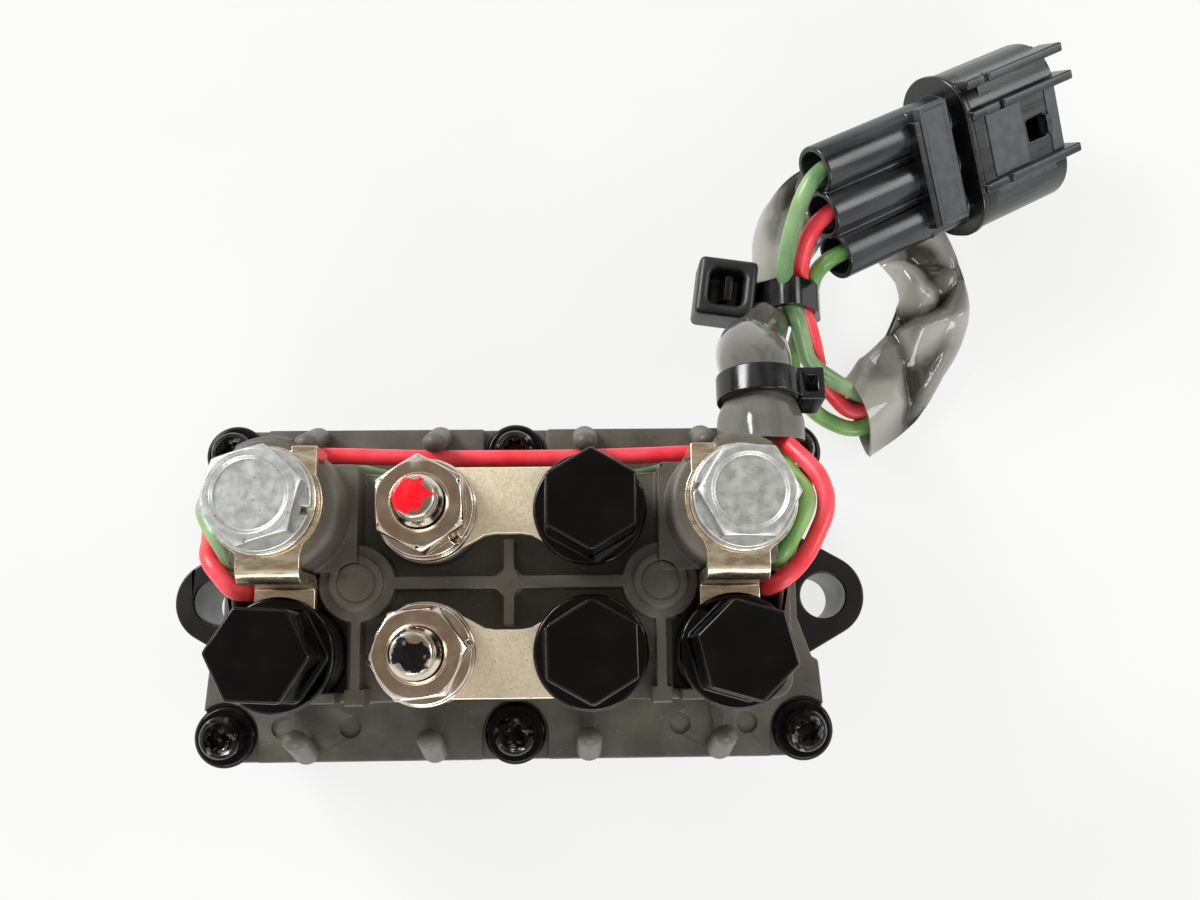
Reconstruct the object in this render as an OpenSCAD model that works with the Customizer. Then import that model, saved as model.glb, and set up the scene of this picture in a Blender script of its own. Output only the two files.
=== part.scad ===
// Trim and tilt relay: two changeover contactors in one moulded case, with
// screw terminals on the top cover and a short harness with a three-way plug.
// X runs along the case, Y across it, Z up. The base stands on z = 0.

/* [Case] */
// Length of the case walls
case_l = 76.4; // [76:0.1:76.8]
// Width of the case walls
case_w = 39.6; // [39:0.1:40]
// Height of the case up to its rim
case_h = 31.2; // [30.8:0.1:31.4]
// Thickness of the case walls
wall_t = 1.9; // [1.6:0.1:2]
// Half the distance between the end rows of case screws
screw_x = 38.2; // [38:0.1:38.4]
// Half the distance between the two rows of case screws
screw_y = 18.8; // [18.6:0.1:19]

/* [Mounting ears] */
// Distance from the centre to each mounting hole
ear_x = 46; // [45.5:0.1:46.5]
// Radius of the mounting holes
ear_hole_r = 3.45; // [3.2:0.05:3.6]
// Radius of the ear's round tip
ear_tip_r = 6.3; // [6:0.1:6.6]
// Thickness of the ears
ear_h = 15; // [12:0.5:18]

/* [Terminals] */
// Distance of both terminal rows from the centre line
row_y = 8.5; // [8.4:0.1:8.6]
// Distance of the inner terminal columns from the middle
col_in = 9.8; // [9.7:0.1:9.9]
// Distance of the outer terminal columns from the middle
col_out = 27; // [26.9:0.1:27.1]
// Radius of the battery studs and motor bolts
m6_r = 3; // [2.9:0.05:3]
// Radius of the studs under the caps
m5_r = 2.5; // [2.4:0.05:2.5]
// Thickness of the bus bars and straps
bar_t = 1.5; // [1.2:0.1:1.6]
// Height of a motor terminal above the bus bars
step_h = 8.9; // [8.5:0.1:9]
// Radius of the straps' round ends
strap_ring_r = 6.5; // [6.4:0.1:6.6]

/* [Contactor] */
// Travel of each plunger
travel = 2; // [1.6:0.1:2]
// Radius of each plunger
plunger_r = 4.3; // [4.1:0.1:4.3]
// Turns of each return spring
return_turns = 6; // [5:1:7]
// Turns of each contact spring
contact_turns = 3; // [3:1:4]

/* [Hidden] */
$fn = 48;
eps = 0.02;
fit = 0.05;

// Colours
case_black = [0.07, 0.07, 0.08];
cover_grey = [0.28, 0.28, 0.26];
zinc = [0.74, 0.76, 0.76];
nickel = [0.84, 0.80, 0.70];
bus_gold = [0.80, 0.74, 0.60];
steel = [0.55, 0.56, 0.58];
copper = [0.72, 0.42, 0.26];
cap_black = [0.05, 0.05, 0.06];
lead_red = [0.86, 0.10, 0.12];
pale_green = [0.56, 0.72, 0.52];
leaf_green = [0.32, 0.56, 0.30];
sleeve_grey = [0.52, 0.51, 0.48];
paper_white = [0.85, 0.83, 0.76];

// Heights of the layers, from the base up
floor_t = 2;
gasket_t = 0.8;
flange_z = case_h + gasket_t;
flange_t = 3;
cover_z = flange_z + flange_t;
pad_h = 0.8;
roof_z = cover_z + 10;
pocket_z = roof_z + 2;
deck_z = cover_z + 14.8;
rib_top = cover_z + 18.5;
platform_z = rib_top + 1.5;
bar_top = rib_top + bar_t;
motor_z = rib_top + step_h;
motor_bar_top = motor_z + bar_t;

// Case and cover outline
lobe_r = 3.9;
rim_h = 2.5;
flange_y = 22.2;
flange_end = [
    [38.2, flange_y], [41.3, 18.8], [40.6, 9.7], [39.8, 9.2], [38, 4],
    [38, -4], [39.8, -9.2], [40.6, -9.7], [41.3, -18.8], [38.2, -flange_y]
];
partition_t = 1.6;
screw_r = 1.45;
screw_depth = 12;
screw_places = [for (x = [-screw_x, 0, screw_x], y = [-screw_y, screw_y]) [x, y]];

// Deck of the cover, with its ribs, bosses and wire hooks
deck_l = 68;
deck_w = 28;
deck_y = -0.2;
block_y = 14.3;
deck_r = 2.5;
cavity_l = 65.2;
cavity_w = 25.6;
platform_x = 18.1;
platform_y = 1.2;
collar_x = 18.3;
collar_r = 4.6;
button_r = 3.3;
button_h = 0.8;
boss_r = 8.1;
boss_edge_r = 1;
channel_r = 6.6;
boss_flat_y = 1.2;
pad_r = 6.3;
edge_wall = 1.3;
hook_w = 2.6;
hooks = [
    [-27, 1], [-10.3, 1], [9.5, 1], [25.5, 1], [-27.3, -1], [-10.5, -1], [9.7, -1], [26.9, -1]
];
hook_y = 17.5;
mark_r = 1.45;
mark_depth = 0.45;
mark_y = 17.7;
mark_x = [-30.7, -21.8, 21.8, 30.7];
red_hole = [31.3, -0.8];
green_hole = [32.6, 2.2];
lead_r = 1.1;

// Fasteners
m6_nut_af = 10;
m6_nut_h = 5;
m6_washer_r = 6.15;
m6_washer_t = 1.6;
m6_head_h = 4;
m5_nut_af = 8;
m5_nut_h = 4;
cap_af = 10.35;
cap_flange_r = 6.84;
cap_flange_t = 1.4;
cap_h = 10.6;
caps = [[col_in, row_y, 30], [col_in, -row_y, 31], [-col_out, -row_y, -3], [col_out, -row_y, -16]];
stud_head_r = 4.2;
stud_head_t = 2.5;
stud_top = bar_top + 12.8;
nut_top = bar_top + 2 * m6_washer_t + m6_nut_h;
stud_groove_r = 2.7;
cap_stud_top = bar_top + 7;
insert_r = 4.4;
insert_h = 12;

// Contactors
relay_x = 18.5;
coil_r = 10.8;
bobbin_r = 11.5;
bobbin_in_r = 4.9;
yoke_l = 28;
yoke_w = 20;
yoke_t = 2;
yoke_top = 28;
core_top = 12;
plunger_base = core_top + travel + 0.1;
plunger_top = 31;
carrier_top = 37.6;
contact_t = 1.4;
contact_l = 18;
contact_w = 6;
stem_r = 1.8;
stem_top = 44.5;
plate_t = 1.2;
plate_z = roof_z - stud_head_t - plate_t;
tip_r = 2;
tip_gap = 0.05;
inner_tip = 6.7;
low_plate_z = 33.2;

// Connector, in its own frame: u along it, v across it, w up from the plane of its three tubes
plug_at = [80.25, 76.5, 11.5];
plug_turn = [29.63, 14, 28.13];
tube_pitch = 6.88;
tube_r = 3.96;
tube_wall = 0.9;
tube_back = -38;
collar = [-13.2, -12];
shroud_front = 6.1;
shroud_w = 25.9;
shroud_h = 14.2;
shroud_v = 0.45;
shroud_r = 6.5;
shroud_wall = 1.6;
socket_floor = -8;
retainer = [[-20.6, -8.5], [5.6, 19.2]];
retainer_t = 1.7;
rail_w = 1.5;
// each rail: where it lies across the connector, the start of its slit and its end
rails = [[11.6, -8.9, 7.9], [6.8, -6.9, 9.1], [-5, -7.9, 8.4]];

// Routes of the leads that the cover's hooks hold, from the sleeve to the deck
left_red_route = [
    [31, 20.6, 44.8], [28.4, 18.6, 41.8], [26.4, 17.9, 40.9], [22, 17.7, 40.7], [12, 17.4, 40.6],
    [0, 17.3, 40.6], [-12, 17.4, 40.6], [-22, 17.7, 40.7], [-28.6, 17.9, 41.1], [-31.4, 18.2, 41.6],
    [-34, 17.8, 42.4], [-36.4, 15.6, 43.8], [-37.2, 13, 45.4], [-37.6, 10.4, 47.4], [-37.1, 8, 49.4],
    [-36.2, 5.4, 52.6], [-35.3, 2.8, 55.6], [-33.6, 0.7, 56.4], [-32.2, -0.8, 56], [-31.4, -0.9, 54.2],
    [-31.3, -0.8, 51], [-31.3, -0.8, 45.6]
];
left_green_route = [
    [31, 20.6, 42], [28.4, 18.3, 38.6], [25.4, 17.7, 37.8], [22, 16.5, 37.4], [17, 15.2, 37.4],
    [12, 14.95, 37.4], [0, 14.93, 37.4], [-12, 14.95, 37.4], [-17, 15.2, 37.4], [-22, 16.5, 37.4],
    [-25.4, 17.7, 37.6], [-28.4, 17.7, 38.2], [-30.8, 17, 39.2], [-32, 16.3, 40.4], [-33.2, 15.6, 42.6],
    [-34.6, 15.4, 45.2], [-35.8, 13.2, 49], [-36.3, 10.8, 52.4], [-36.2, 8.8, 55.4], [-34.9, 6.6, 57],
    [-33.7, 4.9, 57.6], [-32.8, 3, 56.4], [-32.6, 2.2, 54.6], [-32.6, 2.2, 51]
];
right_red_route = [
    [34, 20.6, 45.4], [35.2, 17.6, 48.8], [37.6, 14.2, 51.4], [38.5, 12.2, 52.8], [38.6, 8.8, 54.6],
    [37.2, 5.4, 55.6], [34.9, 1.8, 56.2], [32.8, -0.1, 55.8], [31.6, -0.8, 54.2], [31.3, -0.8, 51],
    [31.3, -0.8, 45.6]
];
right_green_route = [
    [33, 20.6, 43], [33.9, 17.4, 45.4], [35.5, 13.6, 49.6], [36.4, 10.4, 53.6], [35.6, 8, 56.4],
    [34.4, 5.8, 56.9], [33.4, 4, 56.8], [32.7, 2.8, 56], [32.6, 2.2, 54.4], [32.6, 2.2, 51]
];

// Route of the sleeve: x, y, z, and its width and height there
sleeve_route = [
    [32.6, 18.6, 44.2, 11.4, 7.6], [32.6, 21.5, 44.4, 11, 7.8], [32.7, 24.3, 44.2, 9, 8.4],
    [32.6, 27, 43.4, 9, 8.4], [32.7, 29.6, 41.2, 10.2, 9.2], [33.1, 32.3, 36.8, 10.4, 9.2],
    [34.3, 35.4, 29.6, 9.6, 8.6], [36.6, 39, 20.8, 8.2, 7.8], [38.9, 43.4, 13.4, 7.4, 7.4],
    [40.6, 47.8, 9.6, 7, 7], [41.9, 52, 7.2, 7.8, 6.8], [43, 56.4, 5.2, 9.2, 6],
    [44.6, 61, 3.6, 11, 4.6], [47.2, 65.4, 2.2, 12.4, 3.6], [51.6, 68.9, 1.65, 12.8, 3.1],
    [57.2, 69.3, 1.65, 12.8, 3.1], [62.4, 66.4, 1.65, 12.8, 3.1], [66.4, 61.2, 1.65, 12.8, 3.1],
    [69, 55.4, 2.4, 12.4, 4.6], [69.6, 49.4, 2.8, 11.6, 5.2], [67.4, 43.2, 2.7, 12.4, 5],
    [63.4, 37.6, 2.6, 13, 4.8], [59.4, 33.4, 2.6, 13.4, 4.8], [55.6, 30.2, 2.6, 13.4, 4.8]
];

// Routes of the three wires from the sleeve's far mouth into the connector
wire_r = 1.35;
pale_green_route = [
    [57, 33.6, 3.6], [54.2, 34.4, 5], [50.6, 35.7, 7.4], [46.6, 38.2, 9.6], [45, 41.4, 12.4],
    [43.6, 44.4, 15.2], [42.1, 47.6, 16.4], [41.6, 50.6, 17.8], [42, 54.4, 19.9], [42.9, 58.2, 22],
    [44.1, 61.4, 23.6], [46.1, 64.4, 23.9], [49.9, 67.1, 22.8], [53.8, 69.1, 21.7]
];
red_route = [
    [57.4, 31.4, 2.6], [54.8, 31.4, 2.4], [51.6, 34, 3.2], [49.4, 36.6, 4.6], [48.6, 39.2, 6.2],
    [47.2, 42.4, 9.4], [45.8, 45.4, 12], [44.9, 48.2, 13.8], [44.5, 51, 15.6], [44.8, 54.2, 17.8],
    [45.9, 56.9, 19.8], [48.3, 59.3, 20.6], [52, 61.4, 19.5], [55.9, 63.5, 18.4]
];
green_route = [
    [58, 29.2, 2.4], [55.2, 28.4, 2.2], [51.6, 29.4, 2.2], [48, 31.8, 2.8], [45.6, 34.8, 4],
    [44.5, 38.6, 5.6], [45.2, 42.6, 7], [46.3, 46.4, 9], [46.7, 49.2, 11.8], [47.2, 51.4, 14.6],
    [48.7, 52.8, 16.8], [51.4, 54.3, 17], [54.1, 55.7, 16.2], [58, 57.8, 15.1]
];

// Cable ties
sleeve_tie_at = [32.65, 25.7, 43.85];
sleeve_tie_tilt = -8;
tie_t = 1.1;
tie_w = 3.7;
bundle_tie_y = 47.6;
bundle_tie_w = 4.7;
bundle = [[40.6, 9.6, 4.5], [42.4, 15.7, 1.7], [45, 12.9, 1.7], [46.1, 8.6, 1.7]];

// Vector helpers for the swept tubes
function unit(v) = v / norm(v);
function at(route, i) = [route[i][0], route[i][1], route[i][2]];
function along(route, i) = unit(at(route, min(i + 1, len(route) - 1)) - at(route, max(i - 1, 0)));
function ring(centre, t, ref, w, h, sides) =
    let (side = unit(cross(t, ref)), top = cross(side, t))
    [for (k = [0:sides - 1]) centre + side * w / 2 * cos(360 * k / sides) + top * h / 2 * sin(360 * k / sides)];

// A closed tube through rings of points that all have the same count
module skin(rings) {
    n = len(rings[0]);
    last = len(rings) - 1;
    polyhedron(
        points = [for (r = rings) each r],
        faces = concat(
            [[for (k = [0:n - 1]) k]],
            [for (i = [0:last - 1], k = [0:n - 1]) [i * n + k, (i + 1) * n + k, (i + 1) * n + (k + 1) % n]],
            [for (i = [0:last - 1], k = [0:n - 1]) [i * n + k, (i + 1) * n + (k + 1) % n, i * n + (k + 1) % n]],
            [[for (k = [n - 1:-1:0]) last * n + k]]
        )
    );
}

// A round tube along a route
module round_tube(route, r, ref = [0.6, -0.6, 0.53], sides = 8)
    skin([for (i = [0:len(route) - 1]) ring(at(route, i), along(route, i), ref, 2 * r, 2 * r, sides)]);

// A tube whose width and height change along its route
module oval_tube(route, sides = 10)
    skin([for (i = [0:len(route) - 1])
        ring(at(route, i), along(route, i), [0, 0, 1], route[i][3], route[i][4], sides)]);

// A helical spring about the Z axis
module spring(mean_r, wire, low, high, turns) {
    steps = 12;
    count = turns * steps;
    route = [for (i = [0:count]) [
        mean_r * cos(360 * i / steps), mean_r * sin(360 * i / steps),
        low + wire + (high - low - 2 * wire) * i / count
    ]];
    round_tube(route, wire, ref = [0, 0, 1], sides = 6);
}

module rounded_rect(l, w, r) {
    square([l - 2 * r, w], center = true);
    square([l, w - 2 * r], center = true);
    for (x = [-1, 1], y = [-1, 1])
        translate([x * (l / 2 - r), y * (w / 2 - r)]) circle(r);
}

module on_both_sides() for (s = [-1, 1]) scale([s, 1, 1]) children();

// Hexagon with chamfered corners, across its flats
module hex_prism(af, h, turn = 0) {
    corner_r = af / sqrt(3);
    outer_r = corner_r + 1;
    inner_r = af / 2 - 0.2;
    intersection() {
        rotate([0, 0, turn]) cylinder(r = corner_r, h = h, $fn = 6);
        rotate_extrude() polygon([
            [0, -1], [outer_r, -1], [outer_r, h - (outer_r - inner_r) * tan(30)], [inner_r, h], [0, h]
        ]);
    }
}

module washer(r, bore, t) {
    difference() {
        cylinder(r = r, h = t);
        translate([0, 0, -1]) cylinder(r = bore, h = t + 2);
    }
}

// Spring washer, cut through at an angle
module split_washer(turn) {
    difference() {
        washer(5.9, m6_r + 0.15, m6_washer_t);
        rotate([0, 0, turn]) translate([m6_r - 0.5, -0.5, -1]) rotate([18, 0, 0])
            cube([4, 0.8, m6_washer_t + 3]);
    }
}

// Outline that the case rim, the gasket and the cover flange share
module flange_outline() union() {
    polygon(concat(flange_end, [for (i = [len(flange_end) - 1:-1:0]) [-flange_end[i][0], flange_end[i][1]]]));
    for (p = screw_places) translate(p) circle(lobe_r);
}

module ear_outline() {
    a = 60.5;
    root_x = case_l / 2 - 1;
    root_y = (ear_tip_r + (ear_x - root_x) * cos(a)) / sin(a);
    tip = [ear_x + ear_tip_r * cos(a), ear_tip_r * sin(a)];
    translate([ear_x, 0]) circle(ear_tip_r);
    polygon([[root_x, root_y], tip, [tip[0], -tip[1]], [root_x, -root_y]]);
}

module base_housing() color(case_black) difference() {
    union() {
        linear_extrude(case_h) rounded_rect(case_l, case_w, 3);
        translate([0, 0, case_h - rim_h]) linear_extrude(rim_h) flange_outline();
        for (p = screw_places) translate(p) cylinder(r = lobe_r, h = case_h);
        on_both_sides() linear_extrude(ear_h) ear_outline();
    }
    translate([0, 0, floor_t]) linear_extrude(case_h) difference() {
        rounded_rect(case_l - 2 * wall_t, case_w - 2 * wall_t, 1.5);
        square([partition_t, case_w], center = true);
        for (p = screw_places) translate(p) circle(lobe_r);
    }
    for (p = screw_places)
        translate([p[0], p[1], case_h - screw_depth]) cylinder(r = screw_r + fit, h = screw_depth + 1);
    for (s = [-1, 1])
        translate([s * ear_x, 0, -1]) cylinder(r = ear_hole_r, h = ear_h + 2);
}

module cover_gasket() color(cap_black) difference() {
    union() {
        translate([0, 0, case_h]) linear_extrude(gasket_t) polygon(concat(
            flange_end, [for (i = [len(flange_end) - 1:-1:0]) [-flange_end[i][0], flange_end[i][1]]]
        ));
        for (p = screw_places) translate([p[0], p[1], case_h]) cylinder(r = lobe_r, h = gasket_t);
    }
    translate([0, 0, case_h - 1]) linear_extrude(gasket_t + 2)
        rounded_rect(case_l - 2 * wall_t - 2, case_w - 2 * wall_t - 8, 1.5);
    for (p = screw_places) translate([p[0], p[1], case_h - 1]) cylinder(r = 1.7, h = gasket_t + 2);
}

// Raised pads of the flange, cut back round each screw
module pad_outline() difference() {
    flange_outline();
    for (p = screw_places) {
        translate(p) circle(4.35);
        translate([p[0], p[1] + sign(p[1]) * 3]) square([8.7, 6], center = true);
    }
    for (s = [-1, 1], t = [-1, 1])
        translate([s * (screw_x + 3), t * (screw_y + 1)]) square([6, 6.6], center = true);
}

module deck_outline() translate([0, deck_y]) rounded_rect(deck_l, deck_w, deck_r);

// Ribs between the terminals, with the two stop collars and the stud pads
module rib_outline() intersection() {
    union() {
        square([2 * collar_x, 1.5], center = true);
        square([1.3, 10.4], center = true);
        circle(1.7);
        for (s = [-1, 1]) {
            translate([s * collar_x, 0]) circle(collar_r);
            translate([s * collar_x, -deck_w / 4]) square([1.2, deck_w / 2], center = true);
            translate([s * (deck_l / 2 - 6.7), deck_y - deck_w / 2 + edge_wall / 2]) square([13.4, edge_wall], center = true);
            translate([s * (deck_l / 2 - edge_wall / 2), -6.2]) square([edge_wall, 16], center = true);
            translate([s * col_out, -row_y]) circle(pad_r);
        }
        for (x = [-col_in, col_in], y = [-row_y, row_y]) translate([x, y]) circle(pad_r);
    }
    deck_outline();
}

// Deep pocket under each strap, round the terminal's pedestal
module pocket_outline() difference() {
    translate([19.9, deck_y - deck_w / 2 + edge_wall])
        square([deck_l / 2 - edge_wall - 19.9, deck_w / 2 - deck_y - edge_wall + platform_y - 0.5]);
    translate([col_out, -row_y]) circle(pad_r + 0.3);
    translate([collar_x, 0]) circle(collar_r + 0.3);
}

module motor_boss() translate([col_out, row_y, 0]) rotate_extrude() {
    translate([0, cover_z]) square([boss_r, motor_z - cover_z - boss_edge_r]);
    translate([0, cover_z]) square([boss_r - boss_edge_r, motor_z - cover_z]);
    translate([boss_r - boss_edge_r, motor_z - boss_edge_r]) circle(boss_edge_r);
}

// Wire hook: a blunt finger on the flange whose nose leans in over the wires, with a low rib behind
module wire_hook(x, s) translate([x - hook_w / 2, 0, 0]) rotate([90, 0, 90]) linear_extrude(hook_w)
    scale([s, 1]) {
        translate([hook_y, cover_z]) polygon([
            [2, -eps], [4.6, -eps], [4.4, 5], [3.1, 9], [2.1, 10.3], [0.9, 10.2], [0.2, 9.3], [0.4, 8.3],
            [1.4, 7.6], [1.9, 6]
        ]);
        translate([deck_w / 2 - 0.5, cover_z - eps]) square([hook_y + 2.5 - deck_w / 2, 1.1]);
    }

module top_cover() color(cover_grey) difference() {
    union() {
        translate([0, 0, flange_z]) linear_extrude(flange_t) flange_outline();
        translate([0, 0, cover_z - eps]) linear_extrude(pad_h) pad_outline();
        translate([0, 0, cover_z - eps]) linear_extrude(deck_z - cover_z) deck_outline();
        translate([0, 0, deck_z - 1]) linear_extrude(rib_top - deck_z + 1) rib_outline();
        for (s = [-1, 1]) translate([s * collar_x - 1.2, deck_y - deck_w / 2 - 0.3, roof_z]) cube([2.4, 2, rib_top - roof_z]);
        for (s = [-1, 1]) {
            translate([s * (platform_x + deck_l / 2) / 2, (platform_y + block_y) / 2, cover_z - eps])
                linear_extrude(platform_z - cover_z)
                rounded_rect(deck_l / 2 - platform_x, block_y - platform_y, 0.8);
            translate([s * collar_x, 0, rib_top - 1]) cylinder(r = button_r, h = button_h + 1);
        }
        on_both_sides() motor_boss();
        for (h = hooks) wire_hook(h[0], h[1]);
    }
    translate([0, 0, flange_z - 1]) linear_extrude(roof_z - flange_z + 1) rounded_rect(cavity_l, cavity_w, 2);
    on_both_sides() {
        translate([0, 0, pocket_z]) linear_extrude(30) pocket_outline();
        // flat for the strap's leg, and a slot for its lug
        translate([col_out - 5, boss_flat_y - 10, rib_top]) cube([10, 10, 20]);
        translate([21, row_y + 4.8, motor_z - 5.4]) cube([3.5, 10, 10]);
        translate([red_hole[0], red_hole[1], roof_z - 1]) cylinder(r = lead_r + 0.2, h = 20);
        translate([green_hole[0], green_hole[1], roof_z - 1]) cylinder(r = lead_r + 0.2, h = 20);
        translate([col_out, row_y, motor_z - insert_h]) cylinder(r = insert_r, h = insert_h + 1);
        // channel for the leads round the outer side of the boss
        translate([col_out, row_y, platform_z - 0.4]) intersection() {
            difference() {
                cylinder(r = boss_r + 2, h = 20);
                translate([0, 0, -1]) cylinder(r = channel_r, h = 22);
            }
            translate([4.2, -8, 0]) cube([10, 15, 20]);
        }
        translate([col_out, -row_y, roof_z - 1]) cylinder(r = m5_r + fit, h = 20);
        for (y = mark_y * [-1, 1], x = [mark_x[2], mark_x[3]])
            translate([x, y, cover_z + pad_h - mark_depth]) cylinder(r = mark_r, h = 2);
        // witness ring on the stop button
        translate([collar_x, 0, rib_top + button_h - 0.15]) difference() {
            cylinder(r = 2.4, h = 1);
            translate([0, 0, -1]) cylinder(r = 2.2, h = 3);
        }
    }
    for (y = [-row_y, row_y]) {
        translate([-col_in, y, roof_z - 1]) cylinder(r = m6_r + fit, h = 20);
        translate([col_in, y, roof_z - 1]) cylinder(r = m5_r + fit, h = 20);
    }
    for (p = screw_places) translate([p[0], p[1], flange_z - 1]) cylinder(r = 1.7, h = flange_t + 3);
}

// Pan head screw with a six-lobed socket
module case_screws() color(cap_black) for (p = screw_places)
    translate([p[0], p[1], cover_z + 1]) difference() {
        rotate_extrude() {
            translate([0, -screw_depth - flange_t]) square([screw_r, screw_depth + flange_t]);
            square([2.8, 1.7]);
            square([2, 3]);
            translate([1.5, 1.7]) intersection() {
                circle(1.3);
                square(2);
            }
        }
        translate([0, 0, 1.4]) linear_extrude(4) {
            circle(1.05);
            for (i = [0:5]) rotate([0, 0, 60 * i]) translate([1.1, 0]) circle(0.36);
        }
    }

module case_screw_washers() color(cap_black) for (p = screw_places)
    translate([p[0], p[1], cover_z]) rotate_extrude()
        polygon([[1.7, 0], [4.05, 0], [4.05, 0.6], [3.65, 1], [1.7, 1]]);

// Battery stud: a head under the roof, a shank with a groove at the nut's top, and a stepped tip
module battery_stud(y) color(nickel) translate([-col_in, y, 0]) rotate_extrude() polygon([
    [0, roof_z - stud_head_t], [stud_head_r, roof_z - stud_head_t], [stud_head_r, roof_z], [m6_r, roof_z],
    [m6_r, nut_top - 0.3], [stud_groove_r, nut_top - 0.3], [stud_groove_r, nut_top + 0.3], [m6_r, nut_top + 0.3],
    [m6_r, stud_top - 2.4], [2.4, stud_top - 1.7], [2.4, stud_top - 0.25], [2.15, stud_top], [0, stud_top]
]);
module positive_stud() battery_stud(row_y);
module negative_stud() battery_stud(-row_y);

module capped_stud(x, y) translate([x, y, 0]) rotate_extrude() polygon([
    [0, roof_z - stud_head_t], [stud_head_r, roof_z - stud_head_t], [stud_head_r, roof_z], [m5_r, roof_z],
    [m5_r, cap_stud_top - 0.5], [m5_r - 0.5, cap_stud_top], [0, cap_stud_top]
]);
module bus_studs() color(nickel) for (y = [-row_y, row_y]) capped_stud(col_in, y);
module contact_studs() color(nickel) for (s = [-1, 1]) capped_stud(s * col_out, -row_y);

module terminal_flat_washers() color(nickel) for (y = [-row_y, row_y])
    translate([-col_in, y, bar_top]) washer(m6_washer_r, m6_r + 0.1, m6_washer_t);

module terminal_spring_washers() color(nickel) for (y = [-row_y, row_y])
    translate([-col_in, y, bar_top + m6_washer_t]) split_washer(y > 0 ? -35 : 20);

module terminal_nuts() color(nickel) for (y = [-row_y, row_y])
    translate([-col_in, y, bar_top + 2 * m6_washer_t]) difference() {
        hex_prism(m6_nut_af, m6_nut_h, turn = y > 0 ? 33 : 6);
        translate([0, 0, -1]) cylinder(r = m6_r, h = m6_nut_h + 2);
        translate([0, 0, m6_nut_h - 0.4]) cylinder(r1 = m6_r, r2 = m6_r + 0.45, h = 0.45);
    }

// Bus bar: a flat strip with a round pad at each stud, trimmed flush with the deck's edge
module bus_bar() translate([0, 0, rib_top]) linear_extrude(bar_t) difference() {
    intersection() {
        union() {
            for (x = [-col_in, col_in]) translate([x, row_y]) circle(m6_washer_r + 0.05);
            polygon([
                [-col_in, 14], [-col_in, 3], [-6.2, 3.7], [-4.4, 4.6], [-2.8, 5.5], [-1.6, 5.7], [1.6, 5.7],
                [2.8, 5.5], [4.4, 4.6], [6.2, 3.7], [col_in, 3], [col_in, 14]
            ]);
        }
        translate([-30, 0]) square([60, 13.8]);
    }
    translate([-col_in, row_y]) circle(m6_r + 0.1);
    translate([col_in, row_y]) circle(m5_r + 0.1);
}
module positive_bus_bar() color(bus_gold) bus_bar();
module negative_bus_bar() color(bus_gold) mirror([0, 1, 0]) bus_bar();

module motor_bolts() color(zinc) for (s = [-1, 1])
    translate([s * col_out, row_y, motor_bar_top + 2 * m6_washer_t]) {
        difference() {
            hex_prism(m6_nut_af, m6_head_h, turn = s > 0 ? -1 : 17);
            // shallow dish in the head, with a low raised rim
            translate([0, 0, m6_head_h - 0.45]) cylinder(r1 = 3.9, r2 = 4.25, h = 0.5);
        }
        translate([0, 0, -14]) cylinder(r = m6_r - fit, h = 14 + eps);
    }

module motor_bolt_spring_washers() color(zinc) for (s = [-1, 1])
    translate([s * col_out, row_y, motor_bar_top + m6_washer_t]) split_washer(s > 0 ? 180 : -5);

module motor_bolt_flat_washers() color(zinc) for (s = [-1, 1])
    translate([s * col_out, row_y, motor_bar_top]) washer(m6_washer_r, m6_r + 0.1, m6_washer_t);

module motor_bolt_inserts() color(bus_gold) for (s = [-1, 1])
    translate([s * col_out, row_y, motor_z - insert_h]) difference() {
        cylinder(r = insert_r - fit, h = insert_h);
        translate([0, 0, 1.5]) cylinder(r = m6_r, h = insert_h);
    }

// Strap: a ring under the motor bolt, a leg down the boss and a plate under the cap
module motor_strap() {
    neck_l = 22.9;
    neck_w = 7.2;
    bend = 0.3;
    leg_y = boss_flat_y - bend;
    translate([0, 0, motor_z]) linear_extrude(bar_t) difference() {
        union() {
            translate([col_out, row_y]) circle(strap_ring_r);
            translate([neck_l, leg_y + bend]) square([neck_w, row_y - leg_y - bend]);
            polygon([
                [neck_l, 2.6], [22.3, 4.3], [21, 6.4], [col_out, row_y], [33, 6.4], [31.7, 4.3],
                [neck_l + neck_w, 2.6]
            ]);
            translate([21.3, row_y]) square([2.9, 6.5]);
        }
        translate([col_out, row_y]) circle(m6_r + 0.2);
    }
    translate([21.3, row_y + 5, motor_z - 4.6]) cube([2.9, bar_t, 4.6 + bar_t]);
    translate([neck_l, 0, 0]) rotate([90, 0, 90]) linear_extrude(neck_w) {
        difference() {
            translate([leg_y + bend, motor_z - bend]) circle(bend + bar_t);
            translate([leg_y + bend, motor_z - bend]) circle(bend);
            translate([leg_y + bend, motor_z - 5]) square(10);
            translate([leg_y - 5, motor_z - bend - 10]) square([20, 10]);
        }
        translate([leg_y - bar_t, bar_top + bend]) square([bar_t, motor_z - bar_top - 2 * bend]);
        difference() {
            translate([leg_y - bar_t - bend, bar_top + bend]) circle(bend + bar_t);
            translate([leg_y - bar_t - bend, bar_top + bend]) circle(bend);
            translate([leg_y - bar_t - bend - 10, bar_top - 5]) square([10, 20]);
            translate([leg_y - 10, bar_top + bend]) square([20, 10]);
        }
    }
    translate([0, 0, rib_top]) linear_extrude(bar_t) difference() {
        union() {
            translate([neck_l, -row_y]) square([neck_w, row_y + leg_y - bar_t - bend]);
            translate([col_out, -row_y]) circle(strap_ring_r);
        }
        translate([col_out, -row_y]) circle(m5_r + 0.1);
    }
}
module right_motor_strap() color(nickel) motor_strap();
module left_motor_strap() color(nickel) mirror([1, 0, 0]) motor_strap();

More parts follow.
